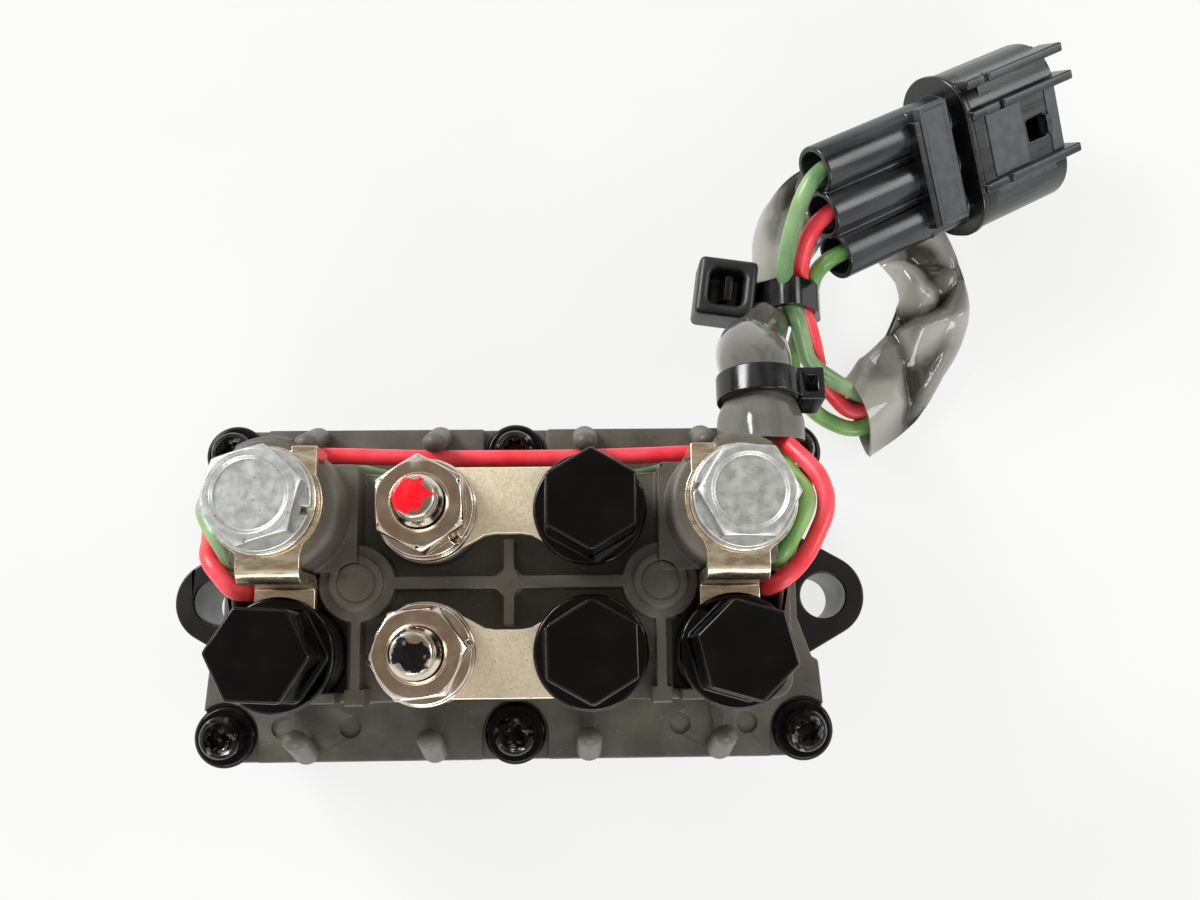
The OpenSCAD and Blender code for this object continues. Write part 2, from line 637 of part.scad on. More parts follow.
module cap_nuts() color(steel) for (c = caps)
    translate([c[0], c[1], bar_top]) difference() {
        hex_prism(m5_nut_af, m5_nut_h, turn = c[2]);
        translate([0, 0, -1]) cylinder(r = m5_r, h = m5_nut_h + 2);
    }

// Insulating cap: a hexagon on a round flange, hollow over its stud and nut
module terminal_cap(c) color(cap_black) translate([c[0], c[1], bar_top]) difference() {
    union() {
        cylinder(r = cap_flange_r, h = cap_flange_t);
        rotate([0, 0, c[2]]) cylinder(r = cap_af / sqrt(3), h = cap_h, $fn = 6);
    }
    translate([0, 0, -1]) rotate([0, 0, c[2]]) cylinder(r = (m5_nut_af + 0.3) / sqrt(3), h = m5_nut_h + 1.4, $fn = 6);
    translate([0, 0, 3]) cylinder(r = m5_r + 0.4, h = cap_h - 4.6);
}
module positive_cap() terminal_cap(caps[0]);
module negative_cap() terminal_cap(caps[1]);
module left_motor_cap() terminal_cap(caps[2]);
module right_motor_cap() terminal_cap(caps[3]);

module at_relays() for (s = [-1, 1]) translate([s * relay_x, 0, 0]) children();

module coil_bobbins() color(paper_white) at_relays() rotate_extrude() polygon([
    [bobbin_in_r, yoke_t + 2.4], [bobbin_r, yoke_t + 2.4], [bobbin_r, yoke_t + 3.6],
    [bobbin_in_r + 1.1, yoke_t + 3.6], [bobbin_in_r + 1.1, yoke_top - 1.6], [bobbin_r, yoke_top - 1.6],
    [bobbin_r, yoke_top - 0.4], [bobbin_in_r, yoke_top - 0.4]
]);

module coil_windings() color(copper) at_relays() translate([0, 0, yoke_t + 3.7])
    washer(coil_r, bobbin_in_r + 1.15, yoke_top - yoke_t - 5.4);

// U-shaped iron frame round each coil
module coil_yokes() color(steel) at_relays() difference() {
    translate([-yoke_l / 2, -yoke_w / 2, floor_t]) cube([yoke_l, yoke_w, yoke_top - floor_t]);
    translate([-yoke_l / 2 + yoke_t, -yoke_w, floor_t + yoke_t]) cube([yoke_l - 2 * yoke_t, 2 * yoke_w, yoke_top]);
    translate([0, 0, floor_t - 1]) cylinder(r = 2.45, h = yoke_t + 2);
}

module pole_plates() color(steel) at_relays() translate([0, 0, yoke_top]) difference() {
    translate([-yoke_l / 2, -yoke_w / 2, 0]) cube([yoke_l, yoke_w, yoke_t]);
    translate([0, 0, -1]) cylinder(r = plunger_r + 0.1, h = yoke_t + 2);
}

module coil_cores() color(steel) at_relays() difference() {
    union() {
        translate([0, 0, floor_t + yoke_t]) cylinder(r = plunger_r, h = core_top - floor_t - yoke_t);
        translate([0, 0, floor_t + 0.2]) cylinder(r = 2.4, h = yoke_t);
    }
    translate([0, 0, 8]) cylinder(r = 2.7, h = 10);
}

module plunger() color(zinc) difference() {
    translate([0, 0, plunger_base]) cylinder(r = plunger_r, h = plunger_top - plunger_base);
    translate([0, 0, plunger_base - 1]) cylinder(r = 2.7, h = 7);
}
module left_plunger() translate([-relay_x, 0, 0]) plunger();
module right_plunger() translate([relay_x, 0, 0]) plunger();

// Moulded carrier that stands on the plunger, with a shoulder and a stem for the contact
module contact_carrier() color(paper_white) {
    translate([0, 0, plunger_top]) cylinder(r = 3.4, h = carrier_top - plunger_top);
    translate([0, 0, plunger_top]) cylinder(r = stem_r, h = stem_top - plunger_top);
}
module left_contact_carrier() translate([-relay_x, 0, 0]) contact_carrier();
module right_contact_carrier() translate([relay_x, 0, 0]) contact_carrier();

module spring_clip() color(steel) translate([0, 0, stem_top - 1]) difference() {
    washer(3.3, stem_r, 0.6);
    translate([1, -0.6, -1]) cube([4, 1.2, 3]);
}
module left_spring_clip() translate([-relay_x, 0, 0]) spring_clip();
module right_spring_clip() translate([relay_x, 0, 0]) spring_clip();

module moving_contact() color(copper) difference() {
    translate([0, 0, carrier_top]) linear_extrude(contact_t) rounded_rect(contact_l, contact_w, 2);
    translate([0, 0, carrier_top - 1]) cylinder(r = stem_r + 0.2, h = contact_t + 2);
}
module left_moving_contact() translate([-relay_x, 0, 0]) moving_contact();
module right_moving_contact() translate([relay_x, 0, 0]) moving_contact();

module return_spring() color(zinc) spring(2.1, 0.4, 8, plunger_base + 6, return_turns);
module left_return_spring() translate([-relay_x, 0, 0]) return_spring();
module right_return_spring() translate([relay_x, 0, 0]) return_spring();

module contact_spring() color(zinc) spring(2.5, 0.35, carrier_top + contact_t, stem_top - 1, contact_turns);
module left_contact_spring() translate([-relay_x, 0, 0]) contact_spring();
module right_contact_spring() translate([relay_x, 0, 0]) contact_spring();

// Contact tips, hanging from the upper plate and standing on the lower one
module upper_tip(x) translate([x, 0, carrier_top + contact_t + tip_gap])
    cylinder(r = tip_r, h = plate_z - carrier_top - contact_t - tip_gap + eps);
module lower_tip(x) translate([x, 0, low_plate_z + plate_t - eps])
    cylinder(r = tip_r, h = carrier_top - travel - low_plate_z - plate_t - tip_gap + eps);

module negative_contacts() color(copper) on_both_sides() {
    translate([6.4, -12.4, plate_z]) difference() {
        cube([8, 14.9, plate_t]);
        translate([col_in - 6.4, 12.4 - row_y, -1]) cylinder(r = 1.2, h = plate_t + 2);
    }
    upper_tip(relay_x - inner_tip);
}

module positive_contacts() color(copper) on_both_sides() {
    translate([6.4, 4.9, plate_z]) cube([7.4, 7.4, plate_t]);
    translate([8.6, 4.9, low_plate_z]) cube([5.2, plate_t, plate_z - low_plate_z + eps]);
    translate([8.6, -2.6, low_plate_z]) cube([5.2, 7.5 + eps, plate_t]);
    lower_tip(relay_x - inner_tip);
}

module motor_contacts() color(copper) on_both_sides() {
    translate([22.8, -12.4, plate_z]) cube([8, 15, plate_t]);
    translate([22.8, -6.1, low_plate_z]) cube([5.2, plate_t, plate_z - low_plate_z + eps]);
    translate([22.8, -6.1, low_plate_z]) cube([5.2, 8.7, plate_t]);
    upper_tip(relay_x + inner_tip);
    lower_tip(relay_x + inner_tip);
}

module left_red_lead() color(lead_red) round_tube(left_red_route, lead_r);
module right_red_lead() color(lead_red) round_tube(right_red_route, lead_r);
module left_green_lead() color(pale_green) round_tube(left_green_route, lead_r);
module right_green_lead() color(leaf_green) round_tube(right_green_route, lead_r);

module harness_sleeve() color(sleeve_grey) oval_tube(sleeve_route);
module pale_green_wire() color(pale_green) round_tube(pale_green_route, wire_r);
module red_wire() color(lead_red) round_tube(red_route, wire_r);
module green_wire() color(leaf_green) round_tube(green_route, wire_r);

module sleeve_tie() color(cap_black) translate(sleeve_tie_at) rotate([sleeve_tie_tilt, 0, 0]) {
    rotate([90, 0, 0]) translate([0, 0, -tie_w / 2]) washer(4.6 + tie_t, 4.6, tie_w);
    translate([4.9, -tie_w / 2 - 0.4, -3.4]) difference() {
        cube([3.4, tie_w + 0.8, 6]);
        translate([0.9, 1.2, -1]) cube([1.5, tie_w - 1.6, 8]);
    }
}

// Tie round the sleeve and the three wires, with its head on the left
module bundle_tie() color(cap_black) {
    translate([0, bundle_tie_y + bundle_tie_w / 2, 0]) rotate([90, 0, 0]) linear_extrude(bundle_tie_w) difference() {
        hull() for (b = bundle) translate([b[0], b[1]]) circle(b[2] + tie_t, $fn = 32);
        hull() for (b = bundle) translate([b[0], b[1]]) circle(b[2], $fn = 32);
    }
    translate([27.4, bundle_tie_y - 3.6, 9]) difference() {
        cube([8.6, 9.2, 8]);
        translate([2.6, 1.6, 3]) cube([3, 5.6, 10]);
    }
}

module in_plug_frame() translate(plug_at) rotate(plug_turn) children();

module along_u(from, to) translate([from, 0, 0]) rotate([90, 0, 90]) linear_extrude(to - from) children();

module at_tubes() for (i = [-1, 0, 1]) translate([i * tube_pitch, 0]) children();

module shroud_outline(grow) translate([shroud_v, 0])
    rounded_rect(shroud_w + 2 * grow, shroud_h + 2 * grow, shroud_r + grow);

module connector_housing() color(cap_black) in_plug_frame() difference() {
    union() {
        along_u(tube_back, collar[0] + 1) translate([-tube_pitch, 0]) circle(tube_r);
        along_u(tube_back - 0.6, collar[0] + 1) circle(tube_r);
        along_u(tube_back, collar[0] + 1) translate([tube_pitch, 0]) circle(tube_r);
        along_u(retainer[0][0], collar[0] + 1) rounded_rect(2 * tube_pitch + 2 * tube_r - 0.8, 6.4, 1.5);
        along_u(collar[0], collar[1]) shroud_outline(0.4);
        along_u(collar[1] - eps, shroud_front) shroud_outline(0);
        for (r = rails) translate([collar[1] - 0.7, r[0] - rail_w / 2, shroud_h / 2 - 3.6])
            cube([r[2] - collar[1] + 0.7, rail_w, 4.8]);
    }
    along_u(tube_back - 2, retainer[0][0] - 4) at_tubes() circle(tube_r - tube_wall);
    along_u(retainer[0][0] - 5, socket_floor + 1) at_tubes() circle(1.2);
    along_u(socket_floor, shroud_front + 1) shroud_outline(-shroud_wall);
    for (r = rails) translate([r[1], r[0] - rail_w, shroud_h / 2 + 0.1]) cube([0.9, 2 * rail_w, 3]);
    // latch window in the top wall
    translate([-1.1, -1.1, shroud_h / 2 - 3]) cube([3.7, 3.5, 4]);
}

module connector_retainer() color(cap_black) in_plug_frame()
    translate([retainer[0][0], retainer[0][1], tube_r + fit]) cube([retainer[1][0], retainer[1][1], retainer_t]);

module connector_pins() color(nickel) in_plug_frame() along_u(retainer[0][0] - 3.8, -1.4) at_tubes() circle(0.9);

module wire_seals() color(leaf_green) in_plug_frame() along_u(-33.2, -29.8) at_tubes() difference() {
    circle(tube_r - tube_wall - fit);
    circle(wire_r + 0.1);
}

base_housing();
cover_gasket();
top_cover();
case_screws();
case_screw_washers();
positive_stud();
negative_stud();
terminal_nuts();
terminal_spring_washers();
terminal_flat_washers();
positive_bus_bar();
negative_bus_bar();
motor_bolts();
motor_bolt_spring_washers();
motor_bolt_flat_washers();
motor_bolt_inserts();
left_motor_strap();
right_motor_strap();
bus_studs();
contact_studs();
cap_nuts();
positive_cap();
negative_cap();
left_motor_cap();
right_motor_cap();
coil_bobbins();
coil_windings();
coil_yokes();
pole_plates();
coil_cores();
left_plunger();
right_plunger();
left_contact_carrier();
right_contact_carrier();
left_spring_clip();
right_spring_clip();
left_moving_contact();
right_moving_contact();
left_return_spring();
right_return_spring();
left_contact_spring();
right_contact_spring();
positive_contacts();
negative_contacts();
motor_contacts();
left_red_lead();
right_red_lead();
left_green_lead();
right_green_lead();
harness_sleeve();
sleeve_tie();
bundle_tie();
pale_green_wire();
red_wire();
green_wire();
connector_housing();
connector_retainer();
connector_pins();
wire_seals();
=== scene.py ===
# %% [markdown]
# # A trim and tilt relay
# The object is a moulded case with screw terminals on its cover and a short harness. Its solids
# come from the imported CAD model. This lesson gives them soft edges, smooth leads and real finishes,
# then sets the camera and the light of a small product studio.

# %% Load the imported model
import math

import bmesh
import bpy
from mathutils import Matrix, Vector


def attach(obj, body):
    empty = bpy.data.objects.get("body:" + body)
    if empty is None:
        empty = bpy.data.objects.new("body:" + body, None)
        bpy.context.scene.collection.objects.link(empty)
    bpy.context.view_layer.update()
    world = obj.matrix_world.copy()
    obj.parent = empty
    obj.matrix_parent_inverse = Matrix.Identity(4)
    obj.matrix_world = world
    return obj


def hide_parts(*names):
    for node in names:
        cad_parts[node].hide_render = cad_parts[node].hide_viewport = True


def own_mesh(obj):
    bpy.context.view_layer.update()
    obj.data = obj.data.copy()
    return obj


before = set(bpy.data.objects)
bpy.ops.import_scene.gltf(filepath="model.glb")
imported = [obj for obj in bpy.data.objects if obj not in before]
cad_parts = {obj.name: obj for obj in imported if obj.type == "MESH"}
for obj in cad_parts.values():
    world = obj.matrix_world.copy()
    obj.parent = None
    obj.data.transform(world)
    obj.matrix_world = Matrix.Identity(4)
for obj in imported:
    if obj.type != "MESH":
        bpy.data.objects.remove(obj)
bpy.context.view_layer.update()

MM = 0.001

# %% [markdown]
# ## The camera
# The photograph is taken from almost straight above, close to the object, so the tall terminals lean
# outwards. A camera could be aimed with a Track To constraint. Here its axes are written out, because
# they were worked out once from parts whose places are known.

# %% Camera
camera_at = Vector((7.554, -9.659, 199.361)) * MM
camera_right = Vector((0.99968, -0.01176, 0.02277))
camera_up = Vector((0.00763, 0.98476, 0.17377))
camera_back = Vector((-0.02447, -0.17354, 0.98452))
focal_mm = 36.1
sensor_mm = 36

lens = bpy.data.cameras.new("photo_camera")
lens.lens = focal_mm
lens.sensor_width = sensor_mm
lens.clip_start = 10 * MM
lens.clip_end = 20
photo_camera = bpy.data.objects.new("photo_camera", lens)
bpy.context.scene.collection.objects.link(photo_camera)
camera_axes = Matrix((camera_right, camera_up, camera_back)).transposed()
photo_camera.matrix_world = Matrix.Translation(camera_at) @ camera_axes.to_4x4()
bpy.context.scene.camera = photo_camera
print("camera looks along", [round(-v, 3) for v in camera_back])

# %% [markdown]
# ## Helpers for colours, nodes and selections
# Colours are picked as sRGB hex values, and shaders want linear light. Operators act on everything
# that is selected, so each piece starts from an empty selection.

# %% Colour and node helpers
def linear(hex_colour):
    """An sRGB hex value as a linear colour with alpha."""
    parts = [int(hex_colour[i:i + 2], 16) / 255 for i in (1, 3, 5)]
    return tuple(v / 12.92 if v < 0.04045 else ((v + 0.055) / 1.055) ** 2.4 for v in parts) + (1.0,)


def add_node(tree, kind, inputs=None, **settings):
    """A node with its settings. An input is a value, a socket, or a node whose first output is used."""
    made = tree.nodes.new("ShaderNode" + kind)
    for key, value in settings.items():
        setattr(made, key, value)
    for key, value in (inputs or {}).items():
        if isinstance(value, bpy.types.Node):
            value = next(socket for socket in value.outputs if socket.enabled)
        if isinstance(value, bpy.types.NodeSocket):
            tree.links.new(value, made.inputs[key])
        else:
            made.inputs[key].default_value = value
    return made


print("mid grey is", round(linear("#808080")[0], 3), "in linear light")

# %% Selection helpers
def object_mode():
    bpy.ops.object.mode_set(mode="OBJECT")


def deselect_all():
    bpy.ops.object.select_all(action="DESELECT")


def add_object(name, data):
    """A new object in the scene with this mesh, curve or light."""
    made = bpy.data.objects.new(name, data)
    bpy.context.scene.collection.objects.link(made)
    return made


def only(piece):
    """Makes one piece the selected and active one."""
    deselect_all()
    piece.select_set(True)
    bpy.context.view_layer.objects.active = piece


def edit_all(piece):
    """Enters edit mode on one piece with all of it selected."""
    only(piece)
    bpy.ops.object.mode_set(mode="EDIT")
    bpy.ops.mesh.select_all(action="SELECT")


def pick_faces(piece, wanted):
    """Enters edit mode with the faces selected for which wanted(centre, normal) holds."""
    bpy.ops.object.mode_set(mode="EDIT")
    bpy.ops.mesh.select_mode(type="FACE")
    bpy.ops.mesh.select_all(action="DESELECT")
    object_mode()
    for face in piece.data.polygons:
        face.select = bool(wanted(face.center, face.normal))
    bpy.ops.object.mode_set(mode="EDIT")


print("selection helpers ready")

# %% [markdown]
# ## Finishing a piece
# A finished piece has its place in its mesh, a smooth surface with crisp edges kept, a material and a
# body that it rides on. A CAD node is loose triangles, so a merged copy is made before its edges are
# rounded: a moulded or pressed edge always has a small radius, and that radius catches the light.

# %% Finish and soften
SMOOTH_ANGLE = math.radians(35)
SLEEVE_SMOOTH = math.radians(60)
ROUND_ANGLE = math.radians(32)
MERGE_WITHIN = 0.002


def merged_copy(node, flat=0.6):
    """A copy of a CAD node with its triangles joined, and merged into faces flat to some degrees."""
    copy = add_object(node + "_copy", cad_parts[node].data.copy())
    edit_all(copy)
    bpy.ops.mesh.remove_doubles(threshold=MERGE_WITHIN * MM)
    if flat:
        bpy.ops.mesh.dissolve_limited(angle_limit=math.radians(flat))
    object_mode()
    return copy


def round_edges(piece, radius, segments, share):
    """Rounds every edge sharper than ROUND_ANGLE, in mm. share(middle) scales the radius."""
    bevel = piece.modifiers.new("edge_radius", "BEVEL")
    bevel.width = radius * MM
    bevel.segments = segments
    bevel.limit_method = "WEIGHT" if share else "ANGLE"
    bevel.angle_limit = ROUND_ANGLE
    bevel.use_clamp_overlap = False
    bevel.miter_outer = "MITER_ARC"
    if share:
        shape = bmesh.new()
        shape.from_mesh(piece.data)
        weight = shape.edges.layers.float.new("bevel_weight_edge")
        for edge in shape.edges:
            if len(edge.link_faces) == 2 and edge.calc_face_angle() > ROUND_ANGLE:
                edge[weight] = share((edge.verts[0].co + edge.verts[1].co) / 2)
        shape.to_mesh(piece.data)
        shape.free()
    bpy.ops.object.modifier_apply(modifier=bevel.name)


def settle(piece, name, material, node, body="case", smooth=SMOOTH_ANGLE, radius=0, segments=2,
           share=None):
    only(piece)
    if radius:
        round_edges(piece, radius, segments, share)
    bpy.ops.object.transform_apply(location=True, rotation=True, scale=True)
    bpy.ops.object.shade_smooth_by_angle(angle=smooth)
    if radius:
        # large faces stay flat between rounded edges
        weighted = piece.modifiers.new("flat_faces", "WEIGHTED_NORMAL")
        weighted.keep_sharp = True
        weighted.weight = 100
        bpy.ops.object.modifier_apply(modifier=weighted.name)
    piece.name = name
    piece.data.name = name
    piece.data.materials.clear()
    piece.data.materials.append(material)
    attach(piece, body)
    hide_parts(node)
    return piece


print("smooth up to", round(math.degrees(SMOOTH_ANGLE)), "degrees")

# %% [markdown]
# ## Materials
# Every finish is a small network on Object coordinates. Moulded plastic gets a fine grain, plated
# metal gets clouded roughness, soft vinyl gets a faint mottling. Pattern sizes are worked out from
# real sizes in millimetres: a noise scale is one over the size of one feature in metres.

# %% Material helpers
SPECK_BLEND = 0.05


def per_mm(size):
    """The noise scale that gives features of this size in millimetres."""
    return 1 / (size * MM)


def start_material(name):
    """A material, its node tree and the coordinates that its patterns read."""
    made = bpy.data.materials.new(name)
    made.use_nodes = True
    tree = made.node_tree
    tree.nodes.clear()
    return made, tree, add_node(tree, "TexCoord").outputs["Object"]


def finish_material(tree, height, depth, inputs):
    """Ends a material: a relief of some mm from a height pattern, and the shader with its inputs."""
    relief = add_node(tree, "Bump", {"Height": height, "Strength": 1.0, "Distance": depth * MM})
    shader = add_node(tree, "BsdfPrincipled", {"Normal": relief, **inputs})
    add_node(tree, "OutputMaterial", {"Surface": shader})


def mottled(name, dark, light, feature, rough_low, rough_high, bump, grain, metallic=0.0, ior=1.5,
            stretch=(1, 1, 1), specks=None):
    """Two tones in soft clouds, a roughness that wanders, a fine grain as bump, and sharp specks.

    Sizes are in mm. Specks are their size, the noise level where they start, and their colour."""
    made, tree, place = start_material(name)
    drawn = add_node(tree, "Mapping", {"Vector": place, "Scale": stretch})
    cloud = add_node(tree, "TexNoise", {"Vector": drawn, "Scale": per_mm(feature), "Detail": 4})
    tone = add_node(tree, "MapRange", {"Value": cloud, "From Min": 0.35, "From Max": 0.65})
    colour = add_node(tree, "Mix", {"Factor": tone, "A": linear(dark), "B": linear(light)},
                      data_type="RGBA")
    if specks:
        size, edge, speck = specks
        dots = add_node(tree, "TexNoise", {"Vector": place, "Scale": per_mm(size), "Detail": 1})
        shown = add_node(tree, "MapRange", {"Value": dots, "From Min": edge,
                                            "From Max": edge + SPECK_BLEND})
        colour = add_node(tree, "Mix", {"Factor": shown, "A": colour, "B": linear(speck)},
                          data_type="RGBA")
    rough = add_node(tree, "MapRange", {"Value": cloud, "From Min": 0.3, "From Max": 0.7,
                                        "To Min": rough_low, "To Max": rough_high})
    fine = add_node(tree, "TexNoise", {"Vector": drawn, "Scale": per_mm(grain), "Detail": 2})
    finish_material(tree, fine, bump, {"Base Color": colour, "Roughness": rough, "Metallic": metallic,
                                       "IOR": ior})
    return made


print("a 0.2 mm grain has noise scale", round(per_mm(0.2)))

# %% Plastics and rubber
# glass-filled nylon, moulded in a spark-eroded tool: warm dark grey, dull, faintly speckled by fibres
cover_nylon = mottled("glass_filled_nylon", "#504d43", "#625f54", 5, 0.42, 0.58, 0.012, 0.16, ior=1.53,
                      specks=(0.4, 0.7, "#6f6c60"))
# black PBT: smoother than the cover and a little glossy
case_pbt = mottled("black_pbt", "#0a0909", "#131211", 6, 0.3, 0.4, 0.006, 0.25, ior=1.5)
# nitrile rubber: dull black, seen only as a line under the cover
gasket_nitrile = mottled("nitrile_rubber", "#0d0d0d", "#161616", 2, 0.6, 0.75, 0.01, 0.3, ior=1.52)
# flexible vinyl caps: deep black with a skin-like gloss and finger smudges
cap_vinyl = mottled("black_vinyl_cap", "#020202", "#060606", 5, 0.1, 0.22, 0.003, 0.6, ior=1.42)
# nylon 6.6 cable ties: black and glossy
tie_nylon = mottled("black_nylon_tie", "#060606", "#0f0f0f", 3, 0.12, 0.26, 0.004, 0.3, ior=1.53)
# the tie's head comes duller from its mould than the band
head_nylon = mottled("dull_nylon_head", "#161718", "#202223", 2, 0.36, 0.48, 0.008, 0.25, ior=1.53)
# nylon of the coil formers and carriers
former_nylon = mottled("natural_nylon", "#cfc8b4", "#ded8c6", 4, 0.45, 0.55, 0.004, 0.3, ior=1.53)
print("plastics:", cover_nylon.name, case_pbt.name, cap_vinyl.name)

# %% Metals
# bright nickel plate on brass: warm mirror with soft clouding
nickel_plate = mottled("nickel_plate", "#e0d0be", "#f6ecdf", 2.5, 0.12, 0.2, 0.004, 0.5, metallic=1.0)
# the same plate over a blanked strap: drawn marks run across the strap, and brass glows through
strap_plate = mottled("nickel_over_brass", "#dccbab", "#f3e8cf", 0.6, 0.2, 0.34, 0.006, 0.25, metallic=0.95,
                      stretch=(0.3, 1, 1), specks=(0.3, 0.7, "#a89468"))
# plated brass bar, rolled: paler gold, a satin surface with fine specks
bar_plate = mottled("plated_bus_brass", "#f3e3c0", "#fff6dd", 0.3, 0.42, 0.54, 0.008, 0.2, metallic=0.82,
                    specks=(0.3, 0.7, "#b39d70"))
# dipped zinc on the motor bolts: pale grey and frosted, with soft clouds and a few darker pits
zinc_coat = mottled("zinc_coating", "#babcb9", "#d2d4d1", 1.2, 0.36, 0.46, 0.012, 0.3, metallic=0.8,
                    specks=(0.35, 0.7, "#8b8d88"))
# black zinc on the case screws: oily black with bright specks, partly worn spots and partly painted glints
black_zinc = mottled("black_zinc", "#141413", "#3a3836", 1.4, 0.08, 0.2, 0.03, 0.7, metallic=0.9,
                     specks=(1.5, 0.6, "#8d8a85"))
# the dished washers under them keep their even black coat
black_washer = mottled("black_coated_washer", "#060606", "#121212", 2, 0.14, 0.26, 0.004, 0.5, metallic=0.5)
# brass inserts, soft iron of the magnets, copper of the contacts and windings, spring steel
insert_brass = mottled("insert_brass", "#a8843e", "#c7a35a", 1, 0.3, 0.42, 0.004, 0.3, metallic=1.0)
soft_iron = mottled("soft_iron", "#77787a", "#929395", 2, 0.35, 0.5, 0.006, 0.3, metallic=1.0)
contact_copper = mottled("contact_copper", "#a8593a", "#c47a52", 1.2, 0.28, 0.42, 0.004, 0.3, metallic=1.0)
spring_steel = mottled("spring_steel", "#8b8d90", "#a9abad", 1, 0.25, 0.35, 0.003, 0.3, metallic=1.0)
print("metals:", nickel_plate.name, bar_plate.name, zinc_coat.name)

# %% Soft vinyl of the harness
# soft PVC insulation: saturated, half glossy, its green ones unevenly coloured along their length
red_vinyl = mottled("red_vinyl", "#fb313d", "#ff515c", 4, 0.3, 0.42, 0.006, 0.8, ior=1.53)
pale_green_vinyl = mottled("pale_green_vinyl", "#61895a", "#93b27e", 4, 0.26, 0.38, 0.01, 0.9, ior=1.53,
                           stretch=(1, 0.4, 0.4))
green_vinyl = mottled("green_vinyl", "#56944a", "#90ba68", 4, 0.26, 0.38, 0.01, 0.9, ior=1.53,
                      stretch=(1, 0.4, 0.4))
print("insulation:", red_vinyl.name, pale_green_vinyl.name, green_vinyl.name)

# %% Sleeve vinyl
CLOUD_SIZE = 7
CLOUD_SHARE = 0.3
SKIN_SIZE = 1.6
SKIN_RELIEF = 0.012


def creased_vinyl(name, pale, deep):
    """Thin glossy vinyl with painted shade in its folds and on its neck, which the mesh marks with an
    attribute.
    """
    made, tree, place = start_material(name)
    painted_shade = add_node(tree, "Attribute", attribute_name="painted_shade").outputs["Fac"]
    cloud = add_node(tree, "TexNoise", {"Vector": place, "Scale": per_mm(CLOUD_SIZE), "Detail": 3})
    # the painted shade from the mesh, plus random clouds, sets how much of the deep colour shows
    depth = add_node(tree, "Math", {0: cloud, 1: CLOUD_SHARE, 2: painted_shade}, operation="MULTIPLY_ADD")
    tone = add_node(tree, "Mix", {"Factor": depth, "A": linear(pale), "B": linear(deep)}, data_type="RGBA")
    skin = add_node(tree, "TexNoise", {"Vector": place, "Scale": per_mm(SKIN_SIZE), "Detail": 2})
    finish_material(tree, skin, SKIN_RELIEF, {"Base Color": tone, "Roughness": 0.12, "IOR": 1.56})
    return made


# thin grey PVC tube: glossy, stiff enough to crease like foil where it is pressed flat
# its deep colour is painted shade, laid into the folds and on the neck
sleeve_vinyl = creased_vinyl("sleeve_vinyl", "#aaaaa0", "#37352d")
print("sleeve:", sleeve_vinyl.name)

# %% Marked stud tips
PLATE_CLOUD = 1.5
DAB_SIZE = 1.7
DAB_RELIEF = 0.25
DAB_EDGE = 0.1
# how far the enamel's edge wanders: the noise adds half of it on average, and so does the limit
RAGGED = 5.0


def marked_plate(name, paint, tip, reach):
    """Nickel plate with a dab of marking enamel, out to about a reach in mm round one point."""
    made, tree, place = start_material(name)
    cloud = add_node(tree, "TexNoise", {"Vector": place, "Scale": per_mm(PLATE_CLOUD), "Detail": 4})
    tone = add_node(tree, "Mix", {"Factor": cloud, "A": linear("#cdc1b1"), "B": linear("#efe8dc")},
                    data_type="RGBA")
    metal = add_node(tree, "BsdfPrincipled", {"Base Color": tone, "Metallic": 1.0, "Roughness": 0.17})
    edge = add_node(tree, "TexNoise", {"Vector": place, "Scale": per_mm(DAB_SIZE), "Detail": 5})
    away = add_node(tree, "VectorMath", {0: place, 1: [v * MM for v in tip]}, operation="DISTANCE")
    ragged = add_node(tree, "Math", {0: edge, 1: RAGGED * MM, 2: away}, operation="MULTIPLY_ADD")
    limit = reach + RAGGED / 2
    dab = add_node(tree, "MapRange", {"Value": ragged, "From Min": (limit - DAB_EDGE) * MM,
                                      "From Max": limit * MM, "To Min": 1.0, "To Max": 0.0})
    ripple = add_node(tree, "Bump", {"Height": edge, "Strength": 1.0, "Distance": DAB_RELIEF * MM})
    enamel = add_node(tree, "BsdfPrincipled", {"Base Color": linear(paint), "Roughness": 0.22, "IOR": 1.5,
                                               "Normal": ripple})
    both = add_node(tree, "MixShader", {0: dab, 1: metal, 2: enamel})
    add_node(tree, "OutputMaterial", {"Surface": both})
    return made


red_marked = marked_plate("nickel_with_red_enamel", "#f2101f", (-10.2, 8.7, 67.7), 2.1)
black_marked = marked_plate("nickel_with_black_enamel", "#050505", (-10.0, -8.8, 67.8), 2.0)
print("marked tips:", red_marked.name, black_marked.name)

# %% [markdown]
# ## The harness
# A grey vinyl sleeve covers three wires and the four leads of the cover. It leaves the cover, drops to
# the table, lies there as a flat, crumpled loop and ends open. A curve with a bevel would give a round
# tube only, so the sleeve is a mesh of rings along the route, with its own width and height at each
# ring. Its creases are straight folds that cross each other, because thin vinyl bends only one way at
# a time. The wires are true curves.

# %% Route helper
def smooth_route(points, steps):
    """Points on a smooth line through the route, with as many values as each point has."""
    made = []
    count = len(points)
    for i in range(count - 1):
        p0, p1, p2, p3 = (points[max(i - 1, 0)], points[i], points[i + 1], points[min(i + 2, count - 1)])
        for k in range(steps):
            t = k / steps
            made.append([0.5 * (2 * b + (c - a) * t + (2 * a - 5 * b + 4 * c - d) * t * t
                                + (3 * b - a - 3 * c + d) * t ** 3) for a, b, c, d in zip(p0, p1, p2, p3)])
    made.append(list(points[-1]))
    return made


def route_length(points):
    return sum((Vector(a[:3]) - Vector(b[:3])).length for a, b in zip(points, points[1:]))


print("half way between two points", smooth_route([[0, 0, 0], [1, 0, 0]], 2)[1])

